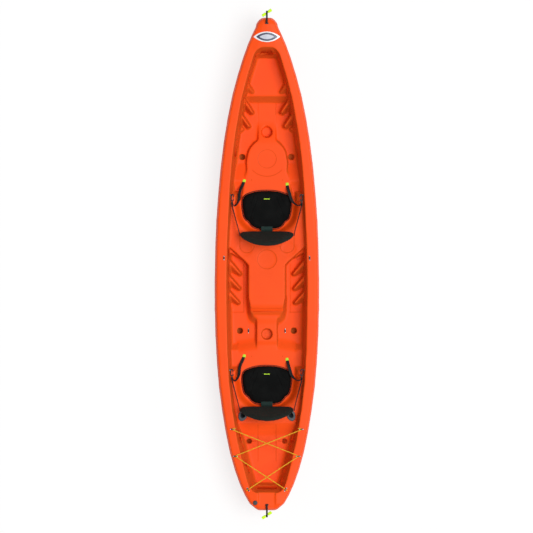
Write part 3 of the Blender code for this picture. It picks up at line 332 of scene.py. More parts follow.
def moulded_skin(node, facing):
    """Copy one half's outer skin: its inner wall, its rim and the walls of its fitted holes go."""
    skin = own_copy(bpy.data.objects[node])
    work = bmesh.new()
    work.from_mesh(skin.data)
    bmesh.ops.remove_doubles(work, verts=work.verts, dist=1e-5)
    work.normal_update()
    gone = []
    for face in work.faces:
        centre = face.calc_center_median()
        at_hole = any(math.dist(centre.xy, place[:2]) < reach for place, _, _, _, reach in POCKETS)
        if face.normal.z * facing < -0.9 or (facing > 0 and abs(face.normal.z) < 0.6 and at_hole):
            gone.append(face)
    bmesh.ops.delete(work, geom=gone, context="FACES_KEEP_BOUNDARY")
    start = max(work.verts, key=lambda vertex: vertex.co.z * facing)
    reached = {start}
    waiting = [start]
    while waiting:
        vertex = waiting.pop()
        for edge in vertex.link_edges:
            other = edge.other_vert(vertex)
            if edge.link_faces and other not in reached:
                reached.add(other)
                waiting.append(other)
    bmesh.ops.delete(work, geom=[v for v in work.verts if v not in reached], context="VERTS")
    bmesh.ops.holes_fill(work, edges=[e for e in work.edges if e.is_boundary], sides=6)
    work.to_mesh(skin.data)
    work.free()
    return skin


def sink_pocket(work, rim, place, axis, radius, depth):
    """Widen a hole's rim to the pocket's radius, draw its wall down along the axis and close it."""
    upward = Vector(axis).normalized()
    middle = Vector(place)
    for vertex in {v for e in rim for v in e.verts}:
        away = vertex.co - middle
        along = upward * away.dot(upward)
        vertex.co = middle + along + (away - along).normalized() * radius
    drawn = bmesh.ops.extrude_edge_only(work, edges=rim)["geom"]
    foot = [item for item in drawn if isinstance(item, bmesh.types.BMVert)]
    bmesh.ops.translate(work, verts=foot, vec=-upward * depth)
    ends = set(foot)
    bmesh.ops.contextual_create(
        work, geom=[e for e in drawn if isinstance(e, bmesh.types.BMEdge) and set(e.verts) <= ends])


# Height of the parting line amidships, at the bow and at the stern, and half the boat's length
SEAM_MIDDLE = 0.200
SEAM_BOW = 0.290
SEAM_STERN = 0.270
HALF_LENGTH = 1.98


def seam_height(y):
    """Height of the parting line between the hull and the deck."""
    end = SEAM_BOW if y > 0 else SEAM_STERN
    return SEAM_MIDDLE + (end - SEAM_MIDDLE) * (y / HALF_LENGTH) ** 2


hull_skin = moulded_skin("hull_shell", -1)
deck_skin = moulded_skin("deck_shell", 1)


def surface_tree(piece):
    """Index a mesh's faces so that the nearest can be found."""
    work = bmesh.new()
    work.from_mesh(piece.data)
    tree = BVHTree.FromBMesh(work)
    work.free()
    return tree


hull_faces = surface_tree(hull_skin)
deck_faces = surface_tree(deck_skin)
pick(hull_skin, deck_skin)
bpy.ops.object.join()
shell = bpy.context.object
work = bmesh.new()
work.from_mesh(shell.data)
rings = edge_rings([e for e in work.edges if e.is_boundary])
middles = [sum(((e.verts[0].co + e.verts[1].co) / 2 for e in r), Vector()) / len(r) for r in rings]
joined = set()
for number, (rim, middle) in enumerate(zip(rings, middles)):
    fitting = [pocket for pocket in POCKETS if math.dist(middle.xy, pocket[0][:2]) < pocket[4]]
    if fitting:
        sink_pocket(work, rim, *fitting[0][:4])
    elif number not in joined:
        # Each of the hull's rims is closed to the deck's rim that meets it
        twin = min((i for i in range(len(rings)) if i != number and i not in joined),
                   key=lambda i: (middles[i] - middle).length + abs(len(rings[i]) - len(rim)) * 1e-4)
        bmesh.ops.bridge_loops(work, edges=rim + rings[twin])
        joined |= {number, twin}
bmesh.ops.recalc_face_normals(work, faces=work.faces)
work.to_mesh(shell.data)
work.free()

# The footrests are moulded steps that the heels push against. Seen from above, each is a ridge from
# the well's wall to its tip, the nose at the floor, and the foot of its aft face back to the wall.
FOOTRESTS = (
    ((0.1560, 1.4480), (0.1085, 1.3770), (0.1174, 1.3530), (0.1500, 1.3500), (0.1825, 1.3596)),
    ((0.1857, 1.3387), (0.1118, 1.2117), (0.1238, 1.1795), (0.1700, 1.2040), (0.2147, 1.2380)),
    ((0.2147, 1.2180), (0.1383, 1.0999), (0.1471, 1.0613), (0.1880, 1.1055), (0.2356, 1.1353)),
    ((0.2270, 1.1250), (0.1880, 1.0800), (0.2050, 0.9560), (0.2150, 0.9500), (0.2450, 0.9700)),
    ((0.2999, 0.0257), (0.2090, -0.0852), (0.2120, -0.1130), (0.2700, -0.0760), (0.3200, -0.0700)),
    ((0.3023, -0.0997), (0.2147, -0.2026), (0.2170, -0.2340), (0.2700, -0.2050), (0.3200, -0.1900)),
    ((0.3023, -0.2227), (0.2211, -0.3160), (0.2230, -0.3470), (0.2700, -0.3200), (0.3200, -0.3100)),
)
# For the front well's footrests and the rear one's: the ridge's height at the wall and at the tip
FOOTREST_HEIGHTS = ((0.250, 0.190), (0.236, 0.178), (0.190, 0.160), (0.150, 0.148))
FOOTREST_KINDS = (0, 1, 1, 3, 2, 2, 2)
WELL_FLOOR = 0.112


def footrest(plan, heights, side):
    """Make one footrest as a solid that runs into the wall and down into the floor."""
    root, tip, nose, middle, foot = (Vector((x * side, y, 0)) for x, y in plan)
    outward = (root - tip).normalized()
    forward = Vector((-outward.y, outward.x, 0)) * side * 0.010
    if forward.y < 0:
        forward = -forward
    reach = outward * 0.035
    high = [root + reach + Vector((0, 0, heights[0] + 0.010)), tip + Vector((0, 0, heights[1]))]
    low = [root + reach + forward, tip + forward, tip + forward / 2 - outward * 0.008, nose, middle,
           foot + reach]
    work = bmesh.new()
    for point in high + [p + Vector((0, 0, WELL_FLOOR)) for p in low] + [
            p + Vector((0, 0, WELL_FLOOR - 0.030)) for p in low]:
        work.verts.new(point)
    bmesh.ops.convex_hull(work, input=work.verts)
    loose = [v for v in work.verts if not v.link_faces]
    bmesh.ops.delete(work, geom=loose, context="VERTS")
    bmesh.ops.recalc_face_normals(work, faces=work.faces)
    return new_piece("footrest", work=work)


steps = [footrest(plan, FOOTREST_HEIGHTS[FOOTREST_KINDS[number]], side)
         for number, plan in enumerate(FOOTRESTS) for side in (-1, 1)]
pick(shell, *steps)
bpy.ops.object.join()
shell = bpy.context.object
shell.data.remesh_voxel_size = SHELL_GRAIN
bpy.ops.object.voxel_remesh()


def all_points(piece):
    """The piece's vertices as an array."""
    flat = np.empty(len(piece.data.vertices) * 3)
    piece.data.vertices.foreach_get("co", flat)
    return flat.reshape(-1, 3)


def put_points(piece, points):
    """Write an array back as the piece's vertices."""
    piece.data.vertices.foreach_set("co", points.ravel())
    piece.data.update()


# The deck's open surfaces are worked in clay over the rough form: the keyhole seat plinth of the
# front well, the rounded end of the middle console, the ramp up to the rear seat, and the bowls.
def smooth_step(low, high, value):
    """Run from 0 to 1 between two levels, with soft ends."""
    t = np.clip((value - low) / (high - low), 0.0, 1.0)
    return t * t * (3 - 2 * t)


def near_course(points, course):
    """Distance of each point from a course of straight stretches, seen from above."""
    best = np.full(len(points), np.inf)
    for start, end in zip(course, course[1:]):
        run = np.subtract(end, start)
        rel = points - np.array(start)
        share = np.clip(rel @ run / max(run @ run, 1e-12), 0, 1)
        best = np.minimum(best, np.hypot(*(rel - share[:, None] * run).T))
    return best


def inside_by(points, outline):
    """Distance of each point inside a closed outline, negative outside it."""
    loop = list(outline) + [outline[0]]
    inside = np.zeros(len(points), dtype=bool)
    x, y = points[:, 0], points[:, 1]
    for (ax, ay), (bx, by) in zip(loop, loop[1:]):
        if ay != by:
            inside ^= ((ay > y) != (by > y)) & (x < (bx - ax) * (y - ay) / (by - ay) + ax)
    away = near_course(points, loop)
    return np.where(inside, away, -away)


def mirrored(half):
    """Close a half outline, given from the bow end to the stern end, across the middle line."""
    return [(-x, y) for x, y in half] + [(x, y) for x, y in half[::-1]]


# Half outlines of the front plinth, the console's top and the console's foot, on the starboard side
PLINTH = ((0.071, 1.180), (0.071, 1.010), (0.074, 0.998), (0.090, 0.982), (0.107, 0.968), (0.124, 0.950),
          (0.139, 0.929), (0.151, 0.902), (0.158, 0.875), (0.163, 0.845), (0.166, 0.815), (0.165, 0.775),
          (0.163, 0.740), (0.160, 0.640))
CONSOLE_TOP = ((0.149, -0.10), (0.149, -0.25), (0.1445, -0.272), (0.139, -0.293), (0.1345, -0.318),
               (0.130, -0.340), (0.124, -0.360), (0.116, -0.377), (0.104, -0.3885), (0.089, -0.396),
               (0.0716, -0.402), (0.040, -0.408), (0.000, -0.410))
CONSOLE_FOOT = ((0.163, -0.10), (0.162, -0.25), (0.1625, -0.351), (0.1605, -0.400), (0.1575, -0.427),
                (0.150, -0.449), (0.138, -0.466), (0.122, -0.480), (0.104, -0.490), (0.080, -0.495),
                (0.000, -0.495))
SEAT_LEVEL = 0.150
BRIDGE_LEVEL = 0.2128
CUP_RIDGE_LEVEL = 0.162
CUP_RIDGE_HALF = 0.084
# Places of the two cup holders, how far they reach, and the share of the plinth's height that the
# front one is sunk by
FRONT_CUP = (0.0, 1.061)
REAR_CUP = (0.0, -0.563)
CUP_REACH = 0.055
CUP_SHARE = 0.54
# Where the front plinth runs out forward and aft
PLINTH_FORE = (0.950, 1.160)
PLINTH_AFT = (0.795, 0.705)


def work_plinth(points):
    """The front plinth stands at the seat's level and runs out into the floor beside the cup holder."""
    x, y = points[:, 0], points[:, 1]
    half_room = np.where(y > 1.0, 0.112, 0.176)
    z = points[:, 2]
    zone = (np.abs(x) < half_room) & (y > 0.66) & (y < 1.185) & (z > 0.085) & (z < 0.20)
    base = WELL_FLOOR + (SEAT_LEVEL - WELL_FLOOR) * smooth_step(*PLINTH_AFT, y)
    top = SEAT_LEVEL - (SEAT_LEVEL - WELL_FLOOR) * smooth_step(*PLINTH_FORE, y)
    top = np.maximum(top, base)
    rise = smooth_step(-0.005, 0.005, inside_by(points[:, :2], mirrored(PLINTH)))
    in_cup = zone & (np.hypot(x - FRONT_CUP[0], y - FRONT_CUP[1]) < CUP_REACH - 0.006)
    in_cup &= z < SEAT_LEVEL - 0.004
    sunk = z - CUP_SHARE * (SEAT_LEVEL - WELL_FLOOR)
    worked = np.where(zone, base + (top - base) * rise, z)
    points[:, 2] = np.where(in_cup, np.minimum(sunk, top), worked)


def work_console(points):
    """The console's end droops to a round lip, and a skirt falls from it to the floor all round."""
    x, y = points[:, 0], points[:, 1]
    zone = (np.abs(x) < 0.178) & (y > -0.505) & (y < -0.25) & (points[:, 2] > 0.095)
    far = np.clip((-0.320 - y) / 0.090, 0, 1)
    top = BRIDGE_LEVEL - 0.040 * far ** 1.6
    ridge = smooth_step(CUP_RIDGE_HALF + 0.006, CUP_RIDGE_HALF - 0.006, np.abs(x))
    base = WELL_FLOOR + (CUP_RIDGE_LEVEL - WELL_FLOOR) * ridge
    to_top = np.maximum(-inside_by(points[:, :2], mirrored(CONSOLE_TOP)), 0)
    to_foot = np.maximum(inside_by(points[:, :2], mirrored(CONSOLE_FOOT)), 0)
    ledge = 0.24 * smooth_step(-0.350, -0.385, y)
    fall = smooth_step(ledge, 1.0, to_top / np.maximum(to_top + to_foot, 1e-6))
    formed = base + (top - base) * (1 - fall)
    share = smooth_step(-0.25, -0.275, y)
    points[:, 2] = np.where(zone, points[:, 2] * (1 - share) + formed * share, points[:, 2])


def work_ramp(points):
    """The rear well's floor rises in one soft curve to the seat, and the cup ridge runs out in it."""
    x, y = points[:, 0], points[:, 1]
    cup = np.hypot(x - REAR_CUP[0], y - REAR_CUP[1]) < CUP_REACH
    zone = (np.abs(x) < 0.236) & (y > -0.735) & (y < -0.560) & (points[:, 2] > 0.095) & ~cup
    zone &= points[:, 2] < 0.185
    start = -0.585 - 0.17 * np.clip(np.abs(x) - 0.11, 0, 1)
    base = WELL_FLOOR + (SEAT_LEVEL - WELL_FLOOR) * smooth_step(start, start - 0.115, y)
    ridge_top = np.maximum(base, CUP_RIDGE_LEVEL - 0.012 * smooth_step(-0.61, -0.66, y))
    ridge = smooth_step(CUP_RIDGE_HALF + 0.005, CUP_RIDGE_HALF - 0.005, np.abs(x))
    points[:, 2] = np.where(zone, base + (ridge_top - base) * ridge, points[:, 2])


# The seat bowls: half width, aft edge and corner radius, and how far their walls run out
BOWL_SIDE = 0.256
BOWL_AFT = -0.205
BOWL_CORNER = 0.19
BOWL_SEATS = (0.440, -0.968)
# A heel pocket beside the front seat, on the starboard side
POCKET_PLAN = ((0.179, 0.663), (0.262, 0.666), (0.269, 0.550), (0.234, 0.5135), (0.204, 0.5135))


def work_bowls(points):
    """Each seat bowl's wall runs out into its floor in one soft curve."""
    x, y = points[:, 0], points[:, 1]
    for seat in BOWL_SEATS:
        turns = [math.radians(-90 + 7.5 * i) for i in range(13)]
        half = [(0.0, seat + BOWL_AFT)] + [
            (BOWL_SIDE - BOWL_CORNER * (1 - math.cos(a)), seat + BOWL_AFT + BOWL_CORNER * (1 + math.sin(a)))
            for a in turns] + [(BOWL_SIDE, seat + 0.10)]
        depth = inside_by(points[:, :2], mirrored(half[::-1]))
        width = 0.038 + 0.016 * smooth_step(0.09, 0.16, np.abs(x))
        share = smooth_step(seat + 0.06, seat - 0.02, y)
        level = SEAT_LEVEL + (BRIDGE_LEVEL - SEAT_LEVEL) * (1 - smooth_step(0.0, 1.0, depth / width))
        zone = (depth > 0) & (points[:, 2] > SEAT_LEVEL - 0.004) & (points[:, 2] < BRIDGE_LEVEL + 0.002)
        points[:, 2] = np.where(zone, points[:, 2] * (1 - share) + level * share, points[:, 2])


def work_pockets(points):
    """Heel pockets fall away aft of a sharp edge, in two steps, and end at a low wall."""
    x, y = np.abs(points[:, 0]), points[:, 1]
    depth = inside_by(np.stack((x, y), axis=1), POCKET_PLAN)
    zone = (depth > 0) & (np.abs(points[:, 2] - SEAT_LEVEL) < 0.012)
    first = 0.020 * (1 - np.clip((y - 0.560) / 0.104, 0, 1) ** 2)
    second = 0.010 * smooth_step(0.560, 0.520, y)
    drop = (first + second) * smooth_step(0, 0.010, depth)
    points[:, 2] = np.where(zone, points[:, 2] - drop, points[:, 2])


def work_tank(points):
    """The tank well's front slope runs straight across: the drain channel ends before it."""
    x, y, z = np.abs(points[:, 0]), points[:, 1], points[:, 2]
    places = np.arange(-1.64, -1.20, 0.01)
    beside = (x > 0.088) & (x < 0.115) & (z > 0.16) & (z < 0.23)
    ramp = [np.median(z[beside & (np.abs(y - place) < 0.012)]) for place in places]
    zone = (x < 0.088) & (y > -1.61) & (y < -1.25) & (z > 0.145) & (z < 0.23)
    points[:, 2] = np.where(zone, np.maximum(z, np.interp(y, places, ramp)), z)


# How each footrest's section runs aft of its ridge, as shares of the way to its foot, and how far
# its fore face reaches
REST_FLAT = 0.24
REST_FORE = 0.016
WELL_BATTER = 0.18
WALL_HEIGHT = 0.270


def work_footrests(points):
    """Each footrest has a steep fore face, a flat top and a long aft face that runs down to its foot."""
    x, y, z = np.abs(points[:, 0]), points[:, 1], points[:, 2]
    flat = np.stack((x, y), axis=1)
    places = np.arange(-0.40, 1.52, 0.02)
    wall = []
    for place in places:
        at_wall = (np.abs(y - place) < 0.02) & (np.abs(z - WALL_HEIGHT) < 0.006) & (x > 0.05)
        wall.append(x[at_wall].min() if at_wall.any() else 0.5)
    wall_x = np.interp(y, places, wall)
    wall_z = WALL_HEIGHT - (wall_x - x) / WELL_BATTER
    height = np.zeros(len(points))
    zone = np.zeros(len(points), dtype=bool)
    for number, plan in enumerate(FOOTRESTS):
        root, tip, nose, _, foot = (np.array(p) for p in plan)
        floor = 0.172 if number == 0 else WELL_FLOOR
        at_root, at_tip = FOOTREST_HEIGHTS[FOOTREST_KINDS[number]]
        run = tip - root
        length = np.hypot(*run)
        run /= length
        aft = np.array((-run[1], run[0]))
        if aft @ (nose - tip) < 0:
            aft = -aft
        u = (flat - root) @ run / length
        v = (flat - root) @ aft
        width = np.interp(u, (0, 1), ((foot - root) @ aft, (nose - tip) @ aft))
        ridge = np.interp(u, (0, 1), (at_root, at_tip)) - floor
        fore = smooth_step(-REST_FORE, -0.002, v)
        back = np.clip((1.06 - v / np.maximum(width, 0.010)) / (1.06 - REST_FLAT), 0, 1)
        end = smooth_step(1.0 + 0.012 / length, 1.0 - 0.006 / length, u)
        near = inside_by(flat, [root, tip, nose, foot]) > -0.026
        height = np.where(near, np.maximum(height, floor + ridge * fore * back * end), height)
        zone |= near & (z > floor - 0.02) & (z < 0.262) & (u > -0.8)
        height = np.where(near, np.maximum(height, floor), height)
    zone &= (x < wall_x - 0.004) & (y < np.where(y > 0.5, 9.0, 0.030))
    zone &= ~((y > 1.285) & (y < 1.350))
    points[:, 2] = np.where(zone, np.maximum(height, wall_z), z)


def work_bow(points):
    """The bow is blunt: its tip is a little fuller than the rough form."""
    points[:, 0] *= 1 + 0.30 * smooth_step(1.900, 1.975, points[:, 1])


points = all_points(shell)
for work_form in (work_plinth, work_console, work_ramp, work_tank, work_footrests, work_bowls,
                  work_pockets, work_bow):
    work_form(points)
put_points(shell, points)
pick(shell)
bpy.ops.object.voxel_remesh()


def all_normals(piece):
    """The piece's vertex normals as an array."""
    flat = np.empty(len(piece.data.vertices) * 3)
    piece.data.vertex_normals.foreach_get("vector", flat)
    return flat.reshape(-1, 3)


# The polished outer side is smoothed more than the deck, whose ribs and steps keep their form
apply_modifier(shell, "SMOOTH", factor=0.5, iterations=5)
points = all_points(shell)
normals = all_normals(shell)
outer = shell.vertex_groups.new(name="outer_side")
for index in np.nonzero(normals[:, 2] < 0.3)[0]:
    x, y, z = points[index]
    if z < seam_height(y) and hull_faces.find_nearest(Vector((x, y, z)))[3] < 0.004:
        outer.add([int(index)], 1.0, "REPLACE")
apply_modifier(shell, "SMOOTH", factor=0.5, iterations=14, vertex_group="outer_side")

apply_modifier(shell, "DECIMATE", ratio=SHELL_FACES / len(shell.data.polygons))


# The shell is parted along the gunwale line and at the middle of each scupper, by which of the two
# mouldings each face is nearer
work = bmesh.new()
work.from_mesh(shell.data)
for vertex in work.verts:
    vertex.co.z -= seam_height(vertex.co.y)
side_faces = [f for f in work.faces if abs(f.calc_center_median().z) < 0.03]
side_edges = {e for f in side_faces for e in f.edges}
side_verts = {v for f in side_faces for v in f.verts}
bmesh.ops.bisect_plane(work, geom=list(side_faces) + list(side_edges) + list(side_verts),
                       plane_co=(0, 0, 0), plane_no=(0, 0, 1), dist=1e-5)
for vertex in work.verts:
    vertex.co.z += seam_height(vertex.co.y)
work.normal_update()
bmesh.ops.triangulate(work, faces=[f for f in work.faces if len(f.verts) > 4])
work.to_mesh(shell.data)


def half_shell(keep_deck):
    """Copy the shell and keep only the faces of one moulding."""
    part = work.copy()
    part.faces.ensure_lookup_table()
    gone = []
    for face in part.faces:
        centre = face.calc_center_median()
        to_deck = deck_faces.find_nearest(centre)[3]
        to_hull = hull_faces.find_nearest(centre)[3]
        outside = min(to_deck, to_hull) < 0.004 and abs(centre.z - seam_height(centre.y)) < 0.012
        is_deck = centre.z > seam_height(centre.y) if outside else to_deck < to_hull
        if is_deck != keep_deck:
            gone.append(face)
    bmesh.ops.delete(part, geom=gone, context="FACES")
    return new_piece("half", work=part)


# The boat's half width along its length, how far in from it the walls of the wells begin, and the
# wells' aft and fore ends
WIDTH_PLACES = np.arange(-1.96, 1.97, 0.04)
HALF_WIDTHS = [np.abs(points[np.abs(points[:, 1] - y) < 0.02, 0]).max() for y in WIDTH_PLACES]
WELLS_START = 0.050
WELLS_ENDS = (-1.86, 1.76)


def mark_surface(piece, is_deck):
    """Store how convex the skin is, from 0 in hollows to 1 on an edge, and where the wells' walls and cup
    holders get painted shade.
    """
    points = all_points(piece)
    normals = all_normals(piece)
    pairs = np.empty(len(piece.data.edges) * 2, dtype=np.int32)
    piece.data.edges.foreach_get("vertices", pairs)
    first, second = pairs.reshape(-1, 2).T
    away = points[second] - points[first]
    span = np.maximum(np.linalg.norm(away, axis=1), 1e-6)
    count = np.zeros(len(points))
    proud = np.zeros(len(points))
    np.add.at(proud, first, -np.sum(away * normals[first], axis=1) / span)
    np.add.at(proud, second, np.sum(away * normals[second], axis=1) / span)
    np.add.at(count, first, 1)
    np.add.at(count, second, 1)
    count = np.maximum(count, 1)
    proud /= count
    for _ in range(2):
        spread = np.zeros(len(points))
        np.add.at(spread, first, proud[second])
        np.add.at(spread, second, proud[first])
        proud = 0.5 * proud + 0.5 * spread / count
    x, y = points[:, 0], points[:, 1]
    side = np.abs(x)
    half_width = np.interp(y, WIDTH_PLACES, HALF_WIDTHS)
    in_wells = smooth_step(WELLS_START - 0.02, WELLS_START, half_width - side) * is_deck
    in_wells *= (y > WELLS_ENDS[0]) & (y < WELLS_ENDS[1])
    for seat in BOWL_SEATS:
        in_bowl = (side < BOWL_SIDE + 0.004) & (y > seat + BOWL_AFT - 0.01) & (y < seat + 0.07)
        in_wells = np.where(in_bowl & (points[:, 2] < BRIDGE_LEVEL + 0.0012), 0.0, in_wells)
    neck = (side < 0.125) & (y > 0.995) & (y < 1.20)
    in_wells = np.where(neck, 0.30 * in_wells, in_wells)
    cups = np.zeros(len(points))
    for cup_x, cup_y in (FRONT_CUP, REAR_CUP):
        near = smooth_step(CUP_REACH - 0.006, CUP_REACH - 0.012, np.hypot(x - cup_x, y - cup_y))
        cups = np.maximum(cups, near)
    # The wells' sloping walls and the cup holders are marked for painted shade; the wells' flats are marked
    # for the mould lines.
    marks = {"wear": np.clip(0.5 + proud * 2.2, 0, 1),
             "steep": np.maximum(np.clip((0.965 - normals[:, 2]) / 0.30, 0, 1), 0.45 * cups) * in_wells,
             "level": np.clip((normals[:, 2] - 0.80) / 0.15, 0, 1) * in_wells}
    for name, values in marks.items():
        attribute = piece.data.attributes.new(name, "FLOAT", "POINT")
        attribute.data.foreach_set("value", values)


# Fine edges that the mould leaves in the deck's flats. Seen from above: sunk discs as x, y and radius;
# round grooves on both sides as x, y, radius and the y that they stay aft of; straight grooves on
# both sides as their nearest and furthest x and y; and small dimples as x and y.
SUNK_DISCS = ((0.0016, 0.845, 0.074), (0.0016, 0.037, 0.077))
ROUND_GROOVES = ((0.0, 0.866, 0.161, 0.756), (0.161, 0.147, 0.057, 0.147))
STRAIGHT_GROOVES = (
    (0.0715, 0.0715, 1.000, 1.289), (0.2170, 0.2170, 0.147, 0.225), (0.1865, 0.1865, -0.387, 0.000),
    (0.1865, 0.2780, -0.387, -0.387), (0.0728, 0.0728, -1.584, -1.294), (0.0900, 0.1290, -1.423, -1.423),
    (0.0670, 0.0670, -1.970, -1.841),
)
DIMPLES = ((-0.1246, 0.6754), (0.1246, 0.6754), (-0.1238, -0.7421), (0.1254, -0.7421))
LINE_HALF = 0.0032


def mould_lines(place):
    """Give the lines' relief, from 0 on the flat to -1 in a groove or disc, and where their edges are, which
    get painted shade.
    """
    across, along, _ = axes(place)
    side = across.math("ABSOLUTE")

    def away(sideways, x, y):
        square = (sideways - x) * (sideways - x) + (along - y) * (along - y)
        return square.math("SQRT")

    def line(distance):
        return remap(distance.math("ABSOLUTE"), LINE_HALF * 1.6, LINE_HALF * 0.2)

    relief = lines = None
    for x, y, radius in SUNK_DISCS:
        reach = away(across, x, y)
        sunk = remap(reach, radius + LINE_HALF, radius - LINE_HALF)
        edge = line(reach - radius)
        relief = sunk if relief is None else relief + sunk
        lines = edge if lines is None else lines + edge
    for x, y, radius, aft_of in ROUND_GROOVES:
        groove = line(away(side, x, y) - radius) * remap(along, aft_of + 0.004, aft_of - 0.004)
        relief, lines = relief + groove, lines + groove
    for near_x, far_x, near_y, far_y in STRAIGHT_GROOVES:
        off_x = (side - (near_x + far_x) / 2).math("ABSOLUTE") - (far_x - near_x) / 2
        off_y = (along - (near_y + far_y) / 2).math("ABSOLUTE") - (far_y - near_y) / 2
        groove = line(off_x.math("MAXIMUM", off_y).math("MAXIMUM", 0.0))
        relief, lines = relief + groove, lines + groove
    for x, y in DIMPLES:
        dimple = remap(away(across, x, y), 0.0080, 0.0030)
        relief, lines = relief + dimple, lines + dimple
    return relief, lines


def orange_skin(start):
    """Orange plastic: slightly clouded colour, paler edges that are partly worn and partly a painted
    highlight, painted shade in hollows, on the wells' walls and in the mould lines, and a faint orange-peel
    skin.
    """
    place = place_on_piece(start)
    worn = stored(start, "wear")
    steep = stored(start, "steep")
    level = stored(start, "level")
    relief, lines = mould_lines(place)
    cloud = noise(start, place, 5.0, 3.0)
    fleck = noise(start, place, 260.0, 2.0)
    peel = noise(start, place, 330.0, 1.0)
    scuff = noise(start, place, 90.0, 4.0, (1.0, 0.04, 1.0))
    keel = remap(axes(place)[2], 0.030, 0.0)
    scratch = remap(scuff, 0.56, 0.66) * keel
    edge = remap(worn, 0.58, 0.90)
    painted_hollow_shade = remap(worn, 0.42, 0.15)
    base = blend_colours(remap(cloud, 0.3, 0.7), (0.890, 0.074, 0.0045, 1), (0.930, 0.081, 0.0060, 1))
    # Edges are painted paler: partly worn plastic, partly a painted highlight.
    base = blend_colours(edge * 0.30, base, (0.96, 0.120, 0.020, 1))
    # Painted shade: the skin's hollows are painted darker.
    base = blend_colours(painted_hollow_shade * 0.25, base, (0.72, 0.060, 0.004, 1))
    base = blend_colours(scratch * 0.55, base, (1.0, 0.300, 0.140, 1))
    # Painted shade: the wells' sloping walls and the cup holders are painted a darker, less red orange.
    base = blend_colours(steep, base, (0.65, 0.092, 0.012, 1))
    # Painted shade: the grooves, the discs' edges and the dimples on the wells' flats are painted darker.
    painted_groove_shade = (lines * level).math("MINIMUM", 1.0)
    base = blend_colours(painted_groove_shade * 0.45, base, (0.50, 0.060, 0.006, 1))
    rough = 0.40 + 0.10 * cloud + 0.10 * edge + 0.18 * scratch + 0.04 * fleck
    return {"Base Color": base, "Roughness": rough,
            "Normal": bump(start, 0.10 * peel + 0.08 * scratch - relief * level, 0.0022, 0.8)}


orange_plastic = finish("orange_polyethylene", orange_skin, Specular_IOR_Level=0.12)

for name, node, keep_deck in (("hull_moulding", "hull_shell", False), ("deck_moulding", "deck_shell", True)):
    half = half_shell(keep_deck)
    mark_surface(half, keep_deck)
    apply_modifier(half, "SOLIDIFY", thickness=PLASTIC_WALL, offset=-1)
    shade_smooth(half)
    dress(name, half, "hull", (node,), orange_plastic)
work.free()
bpy.data.objects.remove(shell)


# A pointed oval plate of printed plastic is stuck across the bow. It is plain: a white rim, a navy
# field and a pale lens in it.
PLATE_MIDDLE = 1.827
PLATE_HALF = (0.1080, 0.0423)
# For the rim, the field and the lens: share of the plate's length and height, and how high it lies
PLATE_LAYERS = (("rim", 1.0, 1.0, 0.0010), ("field", 0.80, 0.80, 0.0016), ("lens", 0.55, 0.48, 0.0021))
PLATE_ROWS = 13
PLATE_COLUMNS = 41


def printed(start, first, second):
    """Printed plastic film, faintly mottled."""
    place = place_on_piece(start)
    mottle = noise(start, place, 120.0, 3.0)
    return {"Base Color": blend_colours(mottle, first, second), "Roughness": 0.30 + 0.15 * mottle,
            "Normal": bump(start, mottle, 0.0001, 0.3)}


def laid_lens(name, half_length, half_height, lift, under):
    """Lay a pointed oval on the deck, with its edge turned down on to it."""
    radius = (half_length ** 2 + half_height ** 2) / (2 * half_height)
    verts = []
    for column in range(PLATE_COLUMNS):
        share = math.sin(math.pi * (column / (PLATE_COLUMNS - 1) - 0.5))
        x = share * half_length
        half = max(math.sqrt(radius ** 2 - x ** 2) - (radius - half_height), 0.0004)
        for row in range(PLATE_ROWS):
            y = PLATE_MIDDLE + half * math.sin(math.pi * (row / (PLATE_ROWS - 1) - 0.5))
            hit = under.ray_cast(Vector((x, y, 1.0)), Vector((0, 0, -1)))[0]
            rim = row in (0, PLATE_ROWS - 1) or column in (0, PLATE_COLUMNS - 1)
            verts.append((x, y, hit.z + (lift - 0.0009 if rim else lift)))
    starts = [c * PLATE_ROWS + r for c in range(PLATE_COLUMNS - 1) for r in range(PLATE_ROWS - 1)]
    faces = [(i, i + PLATE_ROWS, i + PLATE_ROWS + 1, i + 1) for i in starts]
    plate = new_piece(name, verts, faces=faces)
    apply_modifier(plate, "SOLIDIFY", thickness=0.0008, offset=-1)
    shade_smooth(plate)
    return plate


deck_top = surface_tree(bpy.data.objects["deck_moulding"])
# Each layer's finish, its two colours and its slot
PLATE_FILMS = {
    "rim": ("white_film", (0.86, 0.86, 0.86, 1), (0.74, 0.74, 0.76, 1), "white_foam"),
    "field": ("navy_film", (0.020, 0.022, 0.055, 1), (0.035, 0.038, 0.085, 1), "grey_plastic"),
    "lens": ("silver_film", (0.60, 0.62, 0.68, 1), (0.42, 0.44, 0.52, 1), "grey_plastic"),
}
plate_length, plate_height = PLATE_HALF
for layer, length_share, height_share, lift in PLATE_LAYERS:
    plate = laid_lens(f"bow_plate_{layer}", plate_length * length_share, plate_height * height_share, lift,
                      deck_top)
    film, first, second, slot = PLATE_FILMS[layer]
    material = finish(film, lambda start: printed(start, first, second))
    dress(f"bow_plate_{layer}", plate, "hull", (), material)


# Two blocks of closed-cell foam stand inside the shell, under the bow deck and under the tank well.
# They are sawn from sheet and pressed in, and hold the deck up off the hull.
def foam(start):
    """White foam: fine closed cells and a little yellowing."""
    place = place_on_piece(start)
    cells = start.node("ShaderNodeTexVoronoi", None, {"Vector": place, "Scale": 420.0})
    stain = noise(start, place, 7.0, 3.0)
    return {"Base Color": blend_colours(remap(stain, 0.3, 0.8), (0.86, 0.86, 0.83, 1), (0.74, 0.70, 0.58, 1)),
            "Roughness": 0.80 + 0.15 * stain, "Normal": bump(start, cells, 0.0006, 0.6)}


white_foam = finish("white_foam", foam)
for node in ("bow_foam_block", "stern_foam_block"):
    for slot in bpy.data.objects[node].material_slots:
        slot.material = white_foam


# A flexible carrying handle hangs on a pad eye at the bow and at the stern. Its grip is a smooth lime
# rubber bar on a strap of webbing that loops through a riveted black anchor.
GRIP_MIDDLES = {"bow": (0.0, 2.0196, 0.3897), "stern": (0.0, -2.0196, 0.3567)}
GRIP_TURN = math.radians(34)
